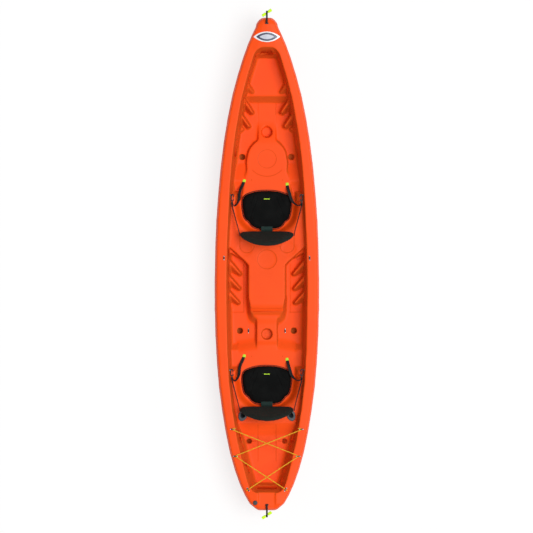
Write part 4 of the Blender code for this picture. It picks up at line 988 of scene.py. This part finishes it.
# Half of the grip from its middle: distance along it, and radius
GRIP_LINE = ((0.0, 0.0060), (0.0100, 0.0060), (0.0112, 0.0070), (0.0120, 0.0092), (0.0132, 0.0108),
             (0.0150, 0.0114), (0.0230, 0.0113), (0.0300, 0.0113), (0.0385, 0.0114), (0.0410, 0.0112),
             (0.0434, 0.0103), (0.0448, 0.0089), (0.0455, 0.0072), (0.0456, 0.0040), (0.0452, 0.0))


def turned(line, steps=32):
    """Spin a half outline round the X axis and close it into one solid."""
    piece = new_piece("turned", [(x, 0, r) for x, r in line], [(i, i + 1) for i in range(len(line) - 1)])
    pick(piece)
    bpy.ops.object.mode_set(mode="EDIT")
    bpy.ops.mesh.select_all(action="SELECT")
    bpy.ops.mesh.spin(steps=steps, angle=2 * math.pi, center=(0, 0, 0), axis=(1, 0, 0))
    bpy.ops.mesh.select_all(action="SELECT")
    bpy.ops.mesh.remove_doubles(threshold=2e-5)
    bpy.ops.mesh.normals_make_consistent(inside=False)
    bpy.ops.object.mode_set(mode="OBJECT")
    bpy.ops.object.shade_smooth_by_angle(angle=math.radians(50))
    return piece


def set_down(piece, place, turn):
    """Turn a piece made at the origin, set it in its place and fix both in its mesh."""
    piece.data.transform(Matrix.Translation(place) @ turn.to_4x4())
    piece.data.update()


def lime_rubber(start):
    """Lime rubber: a little grime in its grain."""
    place = place_on_piece(start)
    grime = noise(start, place, 60.0, 4.0)
    grain = noise(start, place, 900.0, 2.0)
    base = blend_colours(remap(grime, 0.45, 0.75) * 0.35, (0.62, 1.0, 0.004, 1), (0.46, 0.78, 0.012, 1))
    return {"Base Color": base, "Roughness": 0.45 + 0.2 * grime, "Normal": bump(start, grain, 0.0002, 0.5)}


def webbing(start):
    """Woven webbing: raised ribs across two ways of thread, and paler worn threads."""
    place = place_on_piece(start)
    first = start.node("ShaderNodeTexWave", {"bands_direction": "DIAGONAL"},
                       {"Vector": place, "Scale": 150.0, "Distortion": 0.3})
    turned_place = start.node("ShaderNodeMapping", None,
                              {"Vector": place, "Rotation": (0.4, 0.7, math.radians(90))})
    second = start.node("ShaderNodeTexWave", {"bands_direction": "DIAGONAL"},
                        {"Vector": turned_place, "Scale": 150.0, "Distortion": 0.3})
    weave = first.math("MAXIMUM", second)
    worn = noise(start, place, 35.0, 3.0)
    base = blend_colours(remap(worn, 0.40, 0.75) * 0.5 + 0.15 * weave,
                         (0.0045, 0.0052, 0.0058, 1), (0.022, 0.026, 0.028, 1))
    return {"Base Color": base, "Roughness": 0.78 + 0.12 * worn, "Normal": bump(start, weave, 0.0004, 0.7)}


def black_nylon(start):
    """Moulded black nylon: near black, with a fine spark-eroded grain."""
    place = place_on_piece(start)
    grain = noise(start, place, 1100.0, 2.0)
    cloud = noise(start, place, 45.0, 3.0)
    base = blend_colours(cloud, (0.006, 0.0065, 0.0075, 1), (0.014, 0.015, 0.017, 1))
    return {"Base Color": base, "Roughness": 0.38 + 0.18 * cloud, "Normal": bump(start, grain, 0.00015, 0.5)}


ANCHOR_NARROWING = 0.62
lime_grip = finish("lime_grip", lime_rubber, Specular_IOR_Level=0.35)
black_webbing = finish("black_webbing", webbing, Specular_IOR_Level=0.25)
black_plastic = finish("black_plastic", black_nylon, Specular_IOR_Level=0.45)


def merged_copy(node):
    """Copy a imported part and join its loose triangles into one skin."""
    piece = own_copy(bpy.data.objects[node])
    pick(piece)
    bpy.ops.object.mode_set(mode="EDIT")
    bpy.ops.mesh.select_all(action="SELECT")
    bpy.ops.mesh.remove_doubles(threshold=1e-5)
    bpy.ops.mesh.select_all(action="SELECT")
    bpy.ops.mesh.tris_convert_to_quads()
    bpy.ops.object.mode_set(mode="OBJECT")
    return piece


def moulded_edges(node, width, segments=2):
    """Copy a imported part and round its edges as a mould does."""
    piece = merged_copy(node)
    bpy.ops.object.mode_set(mode="EDIT")
    bpy.ops.mesh.select_all(action="SELECT")
    bpy.ops.mesh.dissolve_limited(angle_limit=math.radians(1.5))
    bpy.ops.object.mode_set(mode="OBJECT")
    apply_modifier(piece, "BEVEL", width=width, segments=segments, limit_method="ANGLE",
                   angle_limit=math.radians(35), use_clamp_overlap=True)
    bpy.ops.object.shade_smooth_by_angle(angle=math.radians(40))
    return piece


def flexed(node, levels=2):
    """Copy a packed band and curve it smoothly along its run, with its long edges kept."""
    piece = merged_copy(node)
    work = bmesh.new()
    work.from_mesh(piece.data)
    crease = work.edges.layers.float.new("crease_edge")
    for edge in work.edges:
        if edge.calc_face_angle(0.0) > math.radians(55):
            edge[crease] = 0.85
    work.to_mesh(piece.data)
    work.free()
    apply_modifier(piece, "SUBSURF", levels=levels, render_levels=levels)
    bpy.ops.object.shade_smooth_by_angle(angle=math.radians(50))
    return piece


for end, middle in GRIP_MIDDLES.items():
    grip = turned(GRIP_LINE[::-1] + tuple((-x, r) for x, r in GRIP_LINE[1:]))
    set_down(grip, middle, Matrix.Rotation(GRIP_TURN, 3, "Z"))
    dress(f"{end}_handle_spool", grip, f"{end}_handle", (f"{end}_handle_grip",), lime_grip)
    loop = flexed(f"{end}_handle_webbing")
    dress(f"{end}_handle_loop", loop, f"{end}_handle", (f"{end}_handle_webbing",), black_webbing)
    anchor = moulded_edges(f"{end}_handle_anchor", 0.0009)
    points = all_points(anchor)
    points[:, 0] *= ANCHOR_NARROWING
    put_points(anchor, points)
    dress(f"{end}_handle_pad_eye", anchor, "hull", (f"{end}_handle_anchor",), black_plastic)


# The drain on the port side of the stern is a screwed plug with a rubber ring under its head, in a
# socket set into the deck. Turning it by its raised bar lets the water out of the shell.
def grey_nylon(start):
    """Dark blue-grey moulded plastic with a fine grain and rubbed patches."""
    place = place_on_piece(start)
    grain = noise(start, place, 900.0, 2.0)
    cloud = noise(start, place, 38.0, 4.0)
    base = blend_colours(remap(cloud, 0.3, 0.7), (0.028, 0.036, 0.044, 1), (0.046, 0.056, 0.066, 1))
    return {"Base Color": base, "Roughness": 0.36 + 0.2 * cloud, "Normal": bump(start, grain, 0.00015, 0.5)}


def soft_rubber(start):
    """Black rubber, matt and dusty."""
    place = place_on_piece(start)
    dust = noise(start, place, 120.0, 4.0)
    return {"Base Color": blend_colours(dust, (0.008, 0.008, 0.008, 1), (0.03, 0.028, 0.026, 1)),
            "Roughness": 0.75 + 0.2 * dust, "Normal": bump(start, dust, 0.0002, 0.4)}


grey_plastic = finish("grey_plastic", grey_nylon, Specular_IOR_Level=0.4)
black_rubber = finish("black_rubber", soft_rubber, Specular_IOR_Level=0.3)
plug = moulded_edges("drain_plug", 0.0005)
dress("drain_screw", plug, "plug", ("drain_plug",), grey_plastic)
socket = moulded_edges("drain_socket", 0.0004)
dress("drain_seat", socket, "hull", ("drain_socket",), black_plastic)
washer = moulded_edges("drain_gasket", 0.0004)
dress("drain_washer", washer, "gasket", ("drain_gasket",), black_rubber)


# The two flush rod holders stand behind the rear seat, tilted back and outwards. Each is one
# moulding, a tube with an oval flange, bedded on a thin rubber gasket.
for side in ("left", "right"):
    holder = moulded_edges(f"rod_holder_{side}", 0.0012, 3)
    dress(f"rod_tube_{side}", holder, "hull", (f"rod_holder_{side}",), grey_plastic)
    bed = moulded_edges(f"rod_gasket_{side}", 0.0003)
    dress(f"rod_bed_{side}", bed, "hull", (f"rod_gasket_{side}",), black_rubber)


# Pad eyes hold the lashing, the seat hooks and whatever the paddler ties on. Each is a bowed nylon
# loop on a small plate, fixed with a steel rivet at each end.
def bright_steel(start):
    """Brushed stainless steel with fine scratches."""
    place = place_on_piece(start)
    brush = noise(start, place, 500.0, 3.0, (1.0, 0.08, 1.0))
    return {"Base Color": blend_colours(brush, (0.55, 0.56, 0.57, 1), (0.72, 0.72, 0.73, 1)),
            "Roughness": 0.22 + 0.2 * brush, "Normal": bump(start, brush, 0.0001, 0.4)}


steel = finish("steel", bright_steel, Metallic=1.0)
RIVET_INSET = 0.004
RIVET_LINE = ((0.0018, 0.0), (0.0016, 0.0014), (0.0010, 0.0027), (0.0003, 0.0034), (-0.0004, 0.0036),
              (-0.0010, 0.0034), (-0.0010, 0.0))


def eye_frame(node):
    """Find a pad eye's two ends, on top of its plate, and the way that its loop stands."""
    points = np.unique(np.round(all_points(bpy.data.objects[node]), 5), axis=0)
    middle = (points.min(axis=0) + points.max(axis=0)) / 2
    along = np.linalg.eigh(np.cov((points - middle).T))[1][:, 2]
    shares = (points - middle) @ along
    feet = points[np.abs(shares) > 0.8 * np.abs(shares).max()]
    crown = points[np.abs(shares) < 0.3 * np.abs(shares).max()]
    upward = crown.mean(axis=0) - feet.mean(axis=0)
    upward -= along * (upward @ along)
    upward /= np.linalg.norm(upward)
    top = np.sort(feet @ upward)[-4:].mean()
    centre = feet.mean(axis=0)
    centre += upward * (top - centre @ upward)
    reach = (shares.max() - shares.min()) / 2 - RIVET_INSET
    return Vector(centre), Vector(along), Vector(upward), reach


for node in [name for name in sorted(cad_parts) if "_eye_" in name]:
    eye = moulded_edges(node, 0.0006)
    dress(node.replace("_eye_", "_loop_"), eye, "hull", (node,), black_plastic)
    centre, along, upward, reach = eye_frame(node)
    heads = []
    for way in (-1, 1):
        head = turned(RIVET_LINE, 14)
        set_down(head, centre + along * (way * reach), upward.to_track_quat("X", "Z").to_matrix())
        heads.append(head)
    pick(*heads)
    bpy.ops.object.join()
    dress(node.replace("_eye_", "_rivets_"), bpy.context.object, "hull", (), steel)


# One length of shock cord laces each side of the tank well, from the rear eye across to the middle
# eye and back to the front one. Its rubber core wears a braided sheath of amber and lime thread.
CORD_RADIUS = 0.004
CORD_ROUTES = {
    "left": (
        (-0.1654, -1.8228, 0.3599), (-0.1571, -1.8172, 0.3602), (-0.1439, -1.8083, 0.3608),
        (-0.1048, -1.7826, 0.3586), (-0.0657, -1.7569, 0.3554), (-0.0267, -1.7312, 0.3523),
        (0.0124, -1.7054, 0.3505), (0.0515, -1.6797, 0.3504), (0.0905, -1.6540, 0.3508),
        (0.1296, -1.6283, 0.3506), (0.1687, -1.6026, 0.3493), (0.2078, -1.5769, 0.3478),
        (0.2468, -1.5512, 0.3464), (0.2488, -1.5491, 0.3462), (0.2497, -1.5464, 0.3461),
        (0.2495, -1.5436, 0.3460), (0.2480, -1.5411, 0.3459), (0.2457, -1.5395, 0.3459),
        (0.1941, -1.5190, 0.3451), (0.1424, -1.4986, 0.3442), (0.0908, -1.4781, 0.3421),
        (0.0392, -1.4576, 0.3388), (-0.0125, -1.4372, 0.3372), (-0.0641, -1.4167, 0.3382),
        (-0.1157, -1.3963, 0.3396), (-0.1674, -1.3758, 0.3391), (-0.2190, -1.3554, 0.3383),
        (-0.2706, -1.3349, 0.3374), (-0.2729, -1.3334, 0.3373), (-0.2744, -1.3310, 0.3372),
        (-0.2748, -1.3282, 0.3371), (-0.2740, -1.3256, 0.3370), (-0.2722, -1.3234, 0.3370),
        (-0.2697, -1.3222, 0.3370), (-0.2670, -1.3221, 0.3371), (-0.2490, -1.3215, 0.3378),
    ),
    "right": (
        (0.1654, -1.8228, 0.3599), (0.1571, -1.8172, 0.3602), (0.1439, -1.8083, 0.3608),
        (0.1048, -1.7826, 0.3601), (0.0657, -1.7569, 0.3604), (0.0267, -1.7312, 0.3606),
        (-0.0124, -1.7054, 0.3595), (-0.0515, -1.6797, 0.3568), (-0.0905, -1.6540, 0.3535),
        (-0.1296, -1.6283, 0.3508), (-0.1687, -1.6026, 0.3493), (-0.2078, -1.5769, 0.3478),
        (-0.2468, -1.5512, 0.3464), (-0.2488, -1.5491, 0.3462), (-0.2497, -1.5464, 0.3461),
        (-0.2495, -1.5436, 0.3460), (-0.2480, -1.5411, 0.3459), (-0.2457, -1.5395, 0.3459),
        (-0.1941, -1.5190, 0.3451), (-0.1424, -1.4986, 0.3442), (-0.0908, -1.4781, 0.3447),
        (-0.0392, -1.4576, 0.3463), (0.0125, -1.4372, 0.3462), (0.0641, -1.4167, 0.3434),
        (0.1157, -1.3963, 0.3404), (0.1674, -1.3758, 0.3391), (0.2190, -1.3554, 0.3383),
        (0.2706, -1.3349, 0.3374), (0.2729, -1.3334, 0.3373), (0.2744, -1.3310, 0.3372),
        (0.2748, -1.3282, 0.3371), (0.2740, -1.3256, 0.3370), (0.2722, -1.3234, 0.3370),
        (0.2697, -1.3222, 0.3370), (0.2670, -1.3221, 0.3371), (0.2490, -1.3215, 0.3378),
    ),
}


def between(a, b, c, d, t):
    """The point on a smooth curve a share t of the way from b to c, between a and d."""
    return 0.5 * (2 * b + (c - a) * t + (2 * a - 5 * b + 4 * c - d) * t * t
                  + (3 * b - a - 3 * c + d) * t ** 3)


def smooth_run(points, parts):
    """Draw a smooth curve through the points, with this many parts to each span."""
    points = [Vector(p) for p in points]
    ends = [2 * points[0] - points[1], *points, 2 * points[-1] - points[-2]]
    run = []
    for four in zip(ends, ends[1:], ends[2:], ends[3:]):
        run += [between(*four, i / parts) for i in range(parts)]
    run.append(points[-1])
    return run


def swept(name, run, radius, sides=14):
    """Sweep a round section along a run, close its ends, and unroll its skin into a UV map."""
    tangents = [(run[min(i + 1, len(run) - 1)] - run[max(i - 1, 0)]).normalized() for i in range(len(run))]
    across = tangents[0].orthogonal().normalized()
    verts = []
    for point, tangent in zip(run, tangents):
        across = (across - tangent * across.dot(tangent)).normalized()
        other = tangent.cross(across)
        for k in range(sides):
            turn = 2 * math.pi * k / sides
            verts.append(point + radius * (math.cos(turn) * across + math.sin(turn) * other))
    faces = []
    for i in range(len(run) - 1):
        for k in range(sides):
            a, b = i * sides + k, i * sides + (k + 1) % sides
            faces.append((a, b, b + sides, a + sides))
    faces.append(tuple(range(sides))[::-1])
    faces.append(tuple((len(run) - 1) * sides + k for k in range(sides)))
    piece = new_piece(name, verts, faces=faces)
    mesh = piece.data
    lengths = [0.0]
    for before, after in zip(run, run[1:]):
        lengths.append(lengths[-1] + (after - before).length)
    unrolled = mesh.uv_layers.new(name="UVMap")
    for polygon in mesh.polygons:
        for corner in polygon.loop_indices:
            vertex = mesh.loops[corner].vertex_index
            k = vertex % sides
            if k == 0 and any(mesh.loops[c].vertex_index % sides == sides - 1 for c in polygon.loop_indices):
                k = sides
            unrolled.data[corner].uv = (k / sides, lengths[vertex // sides])
    shade_smooth(piece)
    return piece, lengths[-1]


BRAID_PITCH = 0.0055
FLECK_PITCH = 0.045


def braid(start):
    """Braided sheath: two ways of thread round the cord, with lime and brown flecks."""
    around, along, _ = axes(start.node("ShaderNodeTexCoord", output=2))
    turn = 2 * math.pi
    left_hand = (around * (4 * turn) + along * (turn / BRAID_PITCH)).math("SINE")
    right_hand = (around * (4 * turn) - along * (turn / BRAID_PITCH)).math("SINE")
    threads = left_hand.math("MAXIMUM", right_hand)
    checks = remap(left_hand * right_hand, -0.1, 0.3)
    lime = remap((around * turn + along * (turn / FLECK_PITCH)).math("SINE"), 0.55, 0.80)
    grime = noise(start, place_on_piece(start), 55.0, 3.0)
    base = blend_colours(checks, (0.72, 0.29, 0.012, 1), (0.92, 0.44, 0.022, 1))
    base = blend_colours(lime * 0.35, base, (0.62, 0.80, 0.03, 1))
    base = blend_colours(remap(grime, 0.55, 0.85) * 0.4, base, (0.34, 0.16, 0.02, 1))
    return {"Base Color": base, "Roughness": 0.62 + 0.2 * grime, "Normal": bump(start, threads, 0.0005, 0.8)}


amber_cord = finish("amber_cord", braid, Specular_IOR_Level=0.3)
for side, course in CORD_ROUTES.items():
    run = smooth_run(course, 4)
    cord, length = swept(f"lashing_{side}", run, CORD_RADIUS)
    dress(f"lashing_{side}", cord, "hull", (f"bungee_cord_{side}",), amber_cord)


# Each seat's pad is closed-cell foam under black nylon, stitched through so that its sides stand up
# as bolsters, and edged with binding tape. It sits in the deck's bowl under the paddler.
SEAT_MIDDLE = 0.440
# The rows of seats, and how far each lies from the front one
SEAT_ROWS = (("front", 0.0), ("rear", -1.408))
PAD_FOOT = 0.1515
PAD_TOP = 0.190
# The pad's outline from above, port side: off the middle line, and forward of the seat's middle
PAD_OUTLINE = (
    (0.000, 0.1540), (0.045, 0.1525), (0.085, 0.1480), (0.120, 0.1395), (0.150, 0.1285), (0.175, 0.1150),
    (0.190, 0.0990), (0.1985, 0.0760), (0.2015, 0.0460), (0.2005, 0.0150), (0.1965, -0.0150),
    (0.1910, -0.0450), (0.1830, -0.0700), (0.1680, -0.0880), (0.1480, -0.1040), (0.1320, -0.1260),
    (0.1060, -0.1490), (0.0800, -0.1580), (0.0500, -0.1620), (0.000, -0.1625),
)
# Rings from the foot to the crown: drawn in by, and share of the height
PAD_RINGS = (
    (0.010, 0.00), (0.003, 0.03), (0.0005, 0.12), (0.0, 0.28), (0.0005, 0.46), (0.004, 0.64), (0.011, 0.80),
    (0.022, 0.91), (0.036, 0.965), (0.055, 0.985), (0.080, 0.990), (0.110, 0.985), (0.140, 0.975),
)
# Stitched channels on the port side: distance from the middle line, and forward of the seat's middle
PAD_SEAMS = (
    ((0.097, 0.150), (0.103, 0.128), (0.114, 0.091), (0.135, 0.054)),
    ((0.078, 0.092), (0.090, 0.048), (0.112, 0.004), (0.123, -0.030), (0.133, -0.062)),
)
SEAM_WIDTH = 0.013
SEAM_DEPTH = 0.0045
SWELL_CAP = 0.006
LOOP_PARTS = 12


def both_sides(points):
    """Mirror a half outline across the middle line and join the two into a loop."""
    left = [(-x, y) for x, y in points]
    return left + [(x, y) for x, y in points[-2:0:-1]]


def even_loop(points, count):
    """Space this many points evenly along a smooth closed outline."""
    closed = [Vector((x, y, 0)) for x, y in points]
    loop = []
    size = len(closed)
    for i in range(size):
        a, b, c, d = (closed[(i + k) % size] for k in (-1, 0, 1, 2))
        loop += [between(a, b, c, d, step / LOOP_PARTS) for step in range(LOOP_PARTS)]
    gaps = [(loop[(i + 1) % len(loop)] - loop[i]).length for i in range(len(loop))]
    whole = sum(gaps)
    spaced = []
    walked = 0.0
    index = 0
    for k in range(count):
        goal = whole * k / count
        while walked + gaps[index] < goal:
            walked += gaps[index]
            index += 1
        spaced.append(loop[index].lerp(loop[(index + 1) % len(loop)], (goal - walked) / gaps[index]))
    return spaced


def cushion(name, outline, rings, low, high, around=120):
    """Build a crowned, closed cushion from its outline and the rings of its section."""
    loop = even_loop(outline, around)
    middle = sum(loop, Vector()) / around
    verts = []
    for inset, share in rings:
        for i, point in enumerate(loop):
            tangent = (loop[(i + 1) % around] - loop[i - 1]).normalized()
            inward = Vector((-tangent.y, tangent.x, 0))
            if inward.dot(middle - point) < 0:
                inward = -inward
            reach = (middle - point).length
            drawn = point + inward * min(inset, 0.02) + (middle - point) * max(0.0, inset - 0.02) / reach
            verts.append((drawn.x, drawn.y, low + (high - low) * share))
    faces = []
    for start in range(0, (len(rings) - 1) * around, around):
        for i in range(around):
            a, b = start + i, start + (i + 1) % around
            faces.append((a, b, b + around, a + around))
    top = (len(rings) - 1) * around
    faces.append(tuple(range(around)))
    faces.append(tuple(range(top, top + around)))
    piece = new_piece(name, verts, faces=faces)
    pick(piece)
    bpy.ops.object.mode_set(mode="EDIT")
    bpy.ops.mesh.select_all(action="SELECT")
    bpy.ops.mesh.normals_make_consistent(inside=False)
    bpy.ops.object.mode_set(mode="OBJECT")
    return piece


COVER_GRAIN = 0.005
SWELL_PRESSURE = 4.0


def stuffed(piece, cap, keep_below=-1.0, frames=20):
    """Remesh the cover, let Cloth swell it by at most the cap, and fix the result in its mesh."""
    pick(piece)
    piece.data.remesh_voxel_size = COVER_GRAIN
    bpy.ops.object.voxel_remesh()
    flat = all_points(piece)
    modifier = piece.modifiers.new("cloth", "CLOTH")
    modifier.settings.use_pressure = True
    modifier.settings.uniform_pressure_force = SWELL_PRESSURE
    modifier.settings.quality = 5
    modifier.settings.effector_weights.gravity = 0.0
    modifier.collision_settings.use_self_collision = False
    for number in range(1, frames + 1):
        scene.frame_set(number)
    worn = piece.evaluated_get(bpy.context.evaluated_depsgraph_get())
    swollen = np.empty(len(worn.data.vertices) * 3)
    worn.data.vertices.foreach_get("co", swollen)
    move = swollen.reshape(-1, 3) - flat
    far = np.linalg.norm(move, axis=1)
    move *= (np.minimum(far, cap) / np.maximum(far, 1e-9))[:, None]
    move[:, 2] = np.where(flat[:, 2] < keep_below, np.maximum(move[:, 2], 0.0), move[:, 2])
    piece.modifiers.remove(modifier)
    scene.frame_set(1)
    put_points(piece, flat + move)
    apply_modifier(piece, "SMOOTH", factor=0.5, iterations=2)
    apply_modifier(piece, "SUBSURF", levels=1, render_levels=1)
    shade_smooth(piece)


def nylon_cover(start, dark, light, rib):
    """Woven nylon: a fine two-way weave, faded creases and dust."""
    place = place_on_piece(start)
    across, along, up = axes(place)
    pitch = 2 * math.pi / rib
    warp = (across * pitch).math("SINE")
    weft = ((along + up) * pitch).math("SINE")
    weave = warp * weft
    fade = noise(start, place, 11.0, 4.0)
    dust = noise(start, place, 140.0, 3.0)
    base = blend_colours(remap(fade, 0.35, 0.75) * 0.6 + remap(weave, 0.2, 0.9) * 0.25, dark, light)
    return {"Base Color": base, "Roughness": 0.72 + 0.12 * dust + 0.06 * weave,
            "Normal": bump(start, weave + 0.6 * dust, 0.00035, 0.6)}


pad_cloth = finish("green_black_fabric", lambda start: nylon_cover(
    start, (0.0018, 0.0021, 0.0021, 1), (0.0055, 0.0060, 0.0058, 1), 0.0022),
    Specular_IOR_Level=0.07)


def lime_thread(start):
    """Lime woven tape with a fine rib."""
    place = place_on_piece(start)
    rib = noise(start, place, 700.0, 2.0, (1.0, 0.2, 1.0))
    return {"Base Color": blend_colours(rib, (0.36, 0.62, 0.02, 1), (0.56, 0.85, 0.05, 1)),
            "Roughness": 0.7 + 0.1 * rib, "Normal": bump(start, rib, 0.0002, 0.5)}


lime_tab = finish("lime_tab", lime_thread, Specular_IOR_Level=0.3)


def copied(piece, shift):
    """Copy a piece and move the copy along the boat."""
    twin = own_copy(piece)
    twin.data.transform(Matrix.Translation((0, shift, 0)))
    return twin


pad_outline = [(x, y + SEAT_MIDDLE) for x, y in both_sides(PAD_OUTLINE)]
pad = cushion("pad", pad_outline, PAD_RINGS, PAD_FOOT, PAD_TOP - 0.004)
stuffed(pad, SWELL_CAP, PAD_FOOT + 0.004)
points = all_points(pad)
heights = np.clip((points[:, 2] - PAD_FOOT) / (PAD_TOP - PAD_FOOT), 0, 1)
for seam in PAD_SEAMS:
    for side in (-1, 1):
        course = [(side * x, y + SEAT_MIDDLE) for x, y in seam]
        near = near_course(points[:, :2], course) / (SEAM_WIDTH / 2)
        points[:, 2] -= SEAM_DEPTH * np.exp(-near ** 2) * np.clip(heights * 2 - 1, 0, 1)
points[:, 2] = np.clip(points[:, 2], PAD_FOOT, PAD_TOP)
put_points(pad, points)

# Binding tape runs round the pad's widest line, folded over the cover's cut edge
BINDING_HEIGHT = PAD_FOOT + 0.0085
BINDING_RADIUS = 0.0022
binding_line = [Vector((p.x, p.y, BINDING_HEIGHT)) for p in even_loop(pad_outline, 160)]
binding, _ = swept("binding", binding_line + binding_line[:2], BINDING_RADIUS, 8)

TAG_SIZE = (0.050, 0.0085)
TAG_FORWARD = 0.083


def sewn_tag(name, middle, size, upward, under):
    """Lay a small woven tag on a cushion's cover, with its edges turned down into it."""
    rows, columns = 5, 17
    face_up = Vector(upward).normalized()
    side_way = Vector((1, 0, 0))
    other = face_up.cross(side_way)
    tree = surface_tree(under)
    verts = []
    for j in range(rows):
        for i in range(columns):
            spot = (Vector(middle) + side_way * size[0] * (i / (columns - 1) - 0.5)
                    + other * size[1] * (j / (rows - 1) - 0.5))
            hit = tree.ray_cast(spot + face_up * 0.05, -face_up)[0] or spot
            rim = i in (0, columns - 1) or j in (0, rows - 1)
            verts.append(hit + face_up * (-0.0004 if rim else 0.0007))
    faces = [(j * columns + i, j * columns + i + 1, (j + 1) * columns + i + 1, (j + 1) * columns + i)
             for j in range(rows - 1) for i in range(columns - 1)]
    tag = new_piece(name, verts, faces=faces)
    apply_modifier(tag, "SOLIDIFY", thickness=0.0008, offset=-1)
    apply_modifier(tag, "SUBSURF", levels=1, render_levels=1)
    shade_smooth(tag)
    return tag


tag = sewn_tag("tag", (0.0, SEAT_MIDDLE + TAG_FORWARD, PAD_TOP), TAG_SIZE, (0, 0, 1), pad)
for row, shift in SEAT_ROWS:
    twins = {name: copied(piece, shift) for name, piece in
             (("cushion", pad), ("binding", binding), ("tag", tag))}
    dress(f"{row}_seat_cushion", twins["cushion"], "hull", (f"{row}_seat_pad",), pad_cloth)
    dress(f"{row}_seat_binding", twins["binding"], "hull", (), black_webbing)
    dress(f"{row}_seat_tag", twins["tag"], "hull", (), lime_tab)
for piece in (pad, binding, tag):
    bpy.data.objects.remove(piece)


# Each backrest is a curved foam panel in a nylon cover that leans back behind the pad. It folds
# forward on a sewn patch, and webbing on each side holds it up.
backrest_cloth = finish("black_fabric", lambda start: nylon_cover(
    start, (0.0060, 0.0092, 0.0070, 1), (0.0130, 0.0170, 0.0135, 1), 0.0026),
    Specular_IOR_Level=0.14, Sheen_Weight=0.01)
BACK_SWELL = 0.005
panel = merged_copy("front_backrest")
stuffed(panel, BACK_SWELL)
BACK_END_START = 0.182
BACK_FORWARD = 0.006
points = all_points(panel)
reach = np.abs(points[:, 0]).max()
for way in (-1, 1):
    # The ends are rounded: each section shrinks towards its own middle
    out = np.clip((points[:, 0] * way - BACK_END_START) / (reach - BACK_END_START), 0, 1)
    for index in np.nonzero(out > 0)[0]:
        near = np.abs(points[:, 0] - points[index, 0]) < 0.004
        middle = points[near].mean(axis=0)
        shrink = math.sqrt(max(1 - 0.80 * out[index] ** 2, 0.0))
        points[index, 1:] = middle[1:] + (points[index, 1:] - middle[1:]) * shrink
points[:, 1] += BACK_FORWARD
put_points(panel, points)
for row, shift in SEAT_ROWS:
    twin = copied(panel, shift)
    dress(f"{row}_seat_back", twin, f"{row}_back", (f"{row}_backrest",), backrest_cloth)
bpy.data.objects.remove(panel)


# The patch that joins each backrest to its pad is doubled nylon, sewn to both, and it is the hinge.
def patch_cloth(start):
    """Dark green nylon patch with a coarse weave."""
    return nylon_cover(start, (0.0060, 0.0190, 0.0160, 1), (0.0110, 0.0330, 0.0270, 1), 0.0030)


patch_fabric = finish("hinge_patch", patch_cloth, Specular_IOR_Level=0.25)
for row, shift in SEAT_ROWS:
    middle = SEAT_MIDDLE + shift
    patch = flexed(f"{row}_seat_hinge")
    dress(f"{row}_hinge_patch", patch, None, (f"{row}_seat_hinge",), patch_fabric)
    middle - 0.1725
    middle - 0.1834
    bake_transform(patch)


# Side straps: webbing runs from each backrest through a ladder-lock buckle on a snap hook, and its
# free tail ends in a lime pull tab. The hook clips to an eye on the well's wall.
def hook_steel(start):
    """Black-coated steel, rubbed to bare metal in places."""
    place = place_on_piece(start)
    rub = noise(start, place, 160.0, 4.0)
    bare = remap(rub, 0.66, 0.74)
    return {"Base Color": blend_colours(bare, (0.008, 0.009, 0.010, 1), (0.40, 0.41, 0.42, 1)),
            "Metallic": 0.4 + 0.6 * bare, "Roughness": 0.36 + 0.15 * rub,
            "Normal": bump(start, rub, 0.0001, 0.4)}


coated_steel = finish("coated_steel", hook_steel)
STRAP_PLUMP = 0.0026
HOOK_PLUMP = 0.0022
for row, shift in SEAT_ROWS:
    middle = SEAT_MIDDLE + shift
    for side, way in (("left", -1), ("right", 1)):
        strap = flexed(f"{row}_strap_{side}")
        put_points(strap, all_points(strap) + all_normals(strap) * STRAP_PLUMP)
        dress(f"{row}_side_strap_{side}", strap, None, (f"{row}_strap_{side}",), black_webbing)
        middle - 0.185
        middle + 0.036
        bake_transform(strap)
        hook = flexed(f"{row}_snap_hook_{side}")
        put_points(hook, all_points(hook) + all_normals(hook) * HOOK_PLUMP)
        dress(f"{row}_hook_{side}", hook, "hull", (f"{row}_snap_hook_{side}",), coated_steel)
        gate = flexed(f"{row}_hook_gate_{side}")
        dress(f"{row}_gate_{side}", gate, f"{row}_gate_{side}", (f"{row}_hook_gate_{side}",),
              coated_steel)
        ladder = moulded_edges(f"{row}_buckle_{side}", 0.0007)
        dress(f"{row}_ladder_{side}", ladder, "hull", (f"{row}_buckle_{side}",), black_plastic)
        tab = moulded_edges(f"{row}_pull_tab_{side}", 0.0009, 3)
        dress(f"{row}_tab_{side}", tab, "hull", (f"{row}_pull_tab_{side}",), lime_tab)
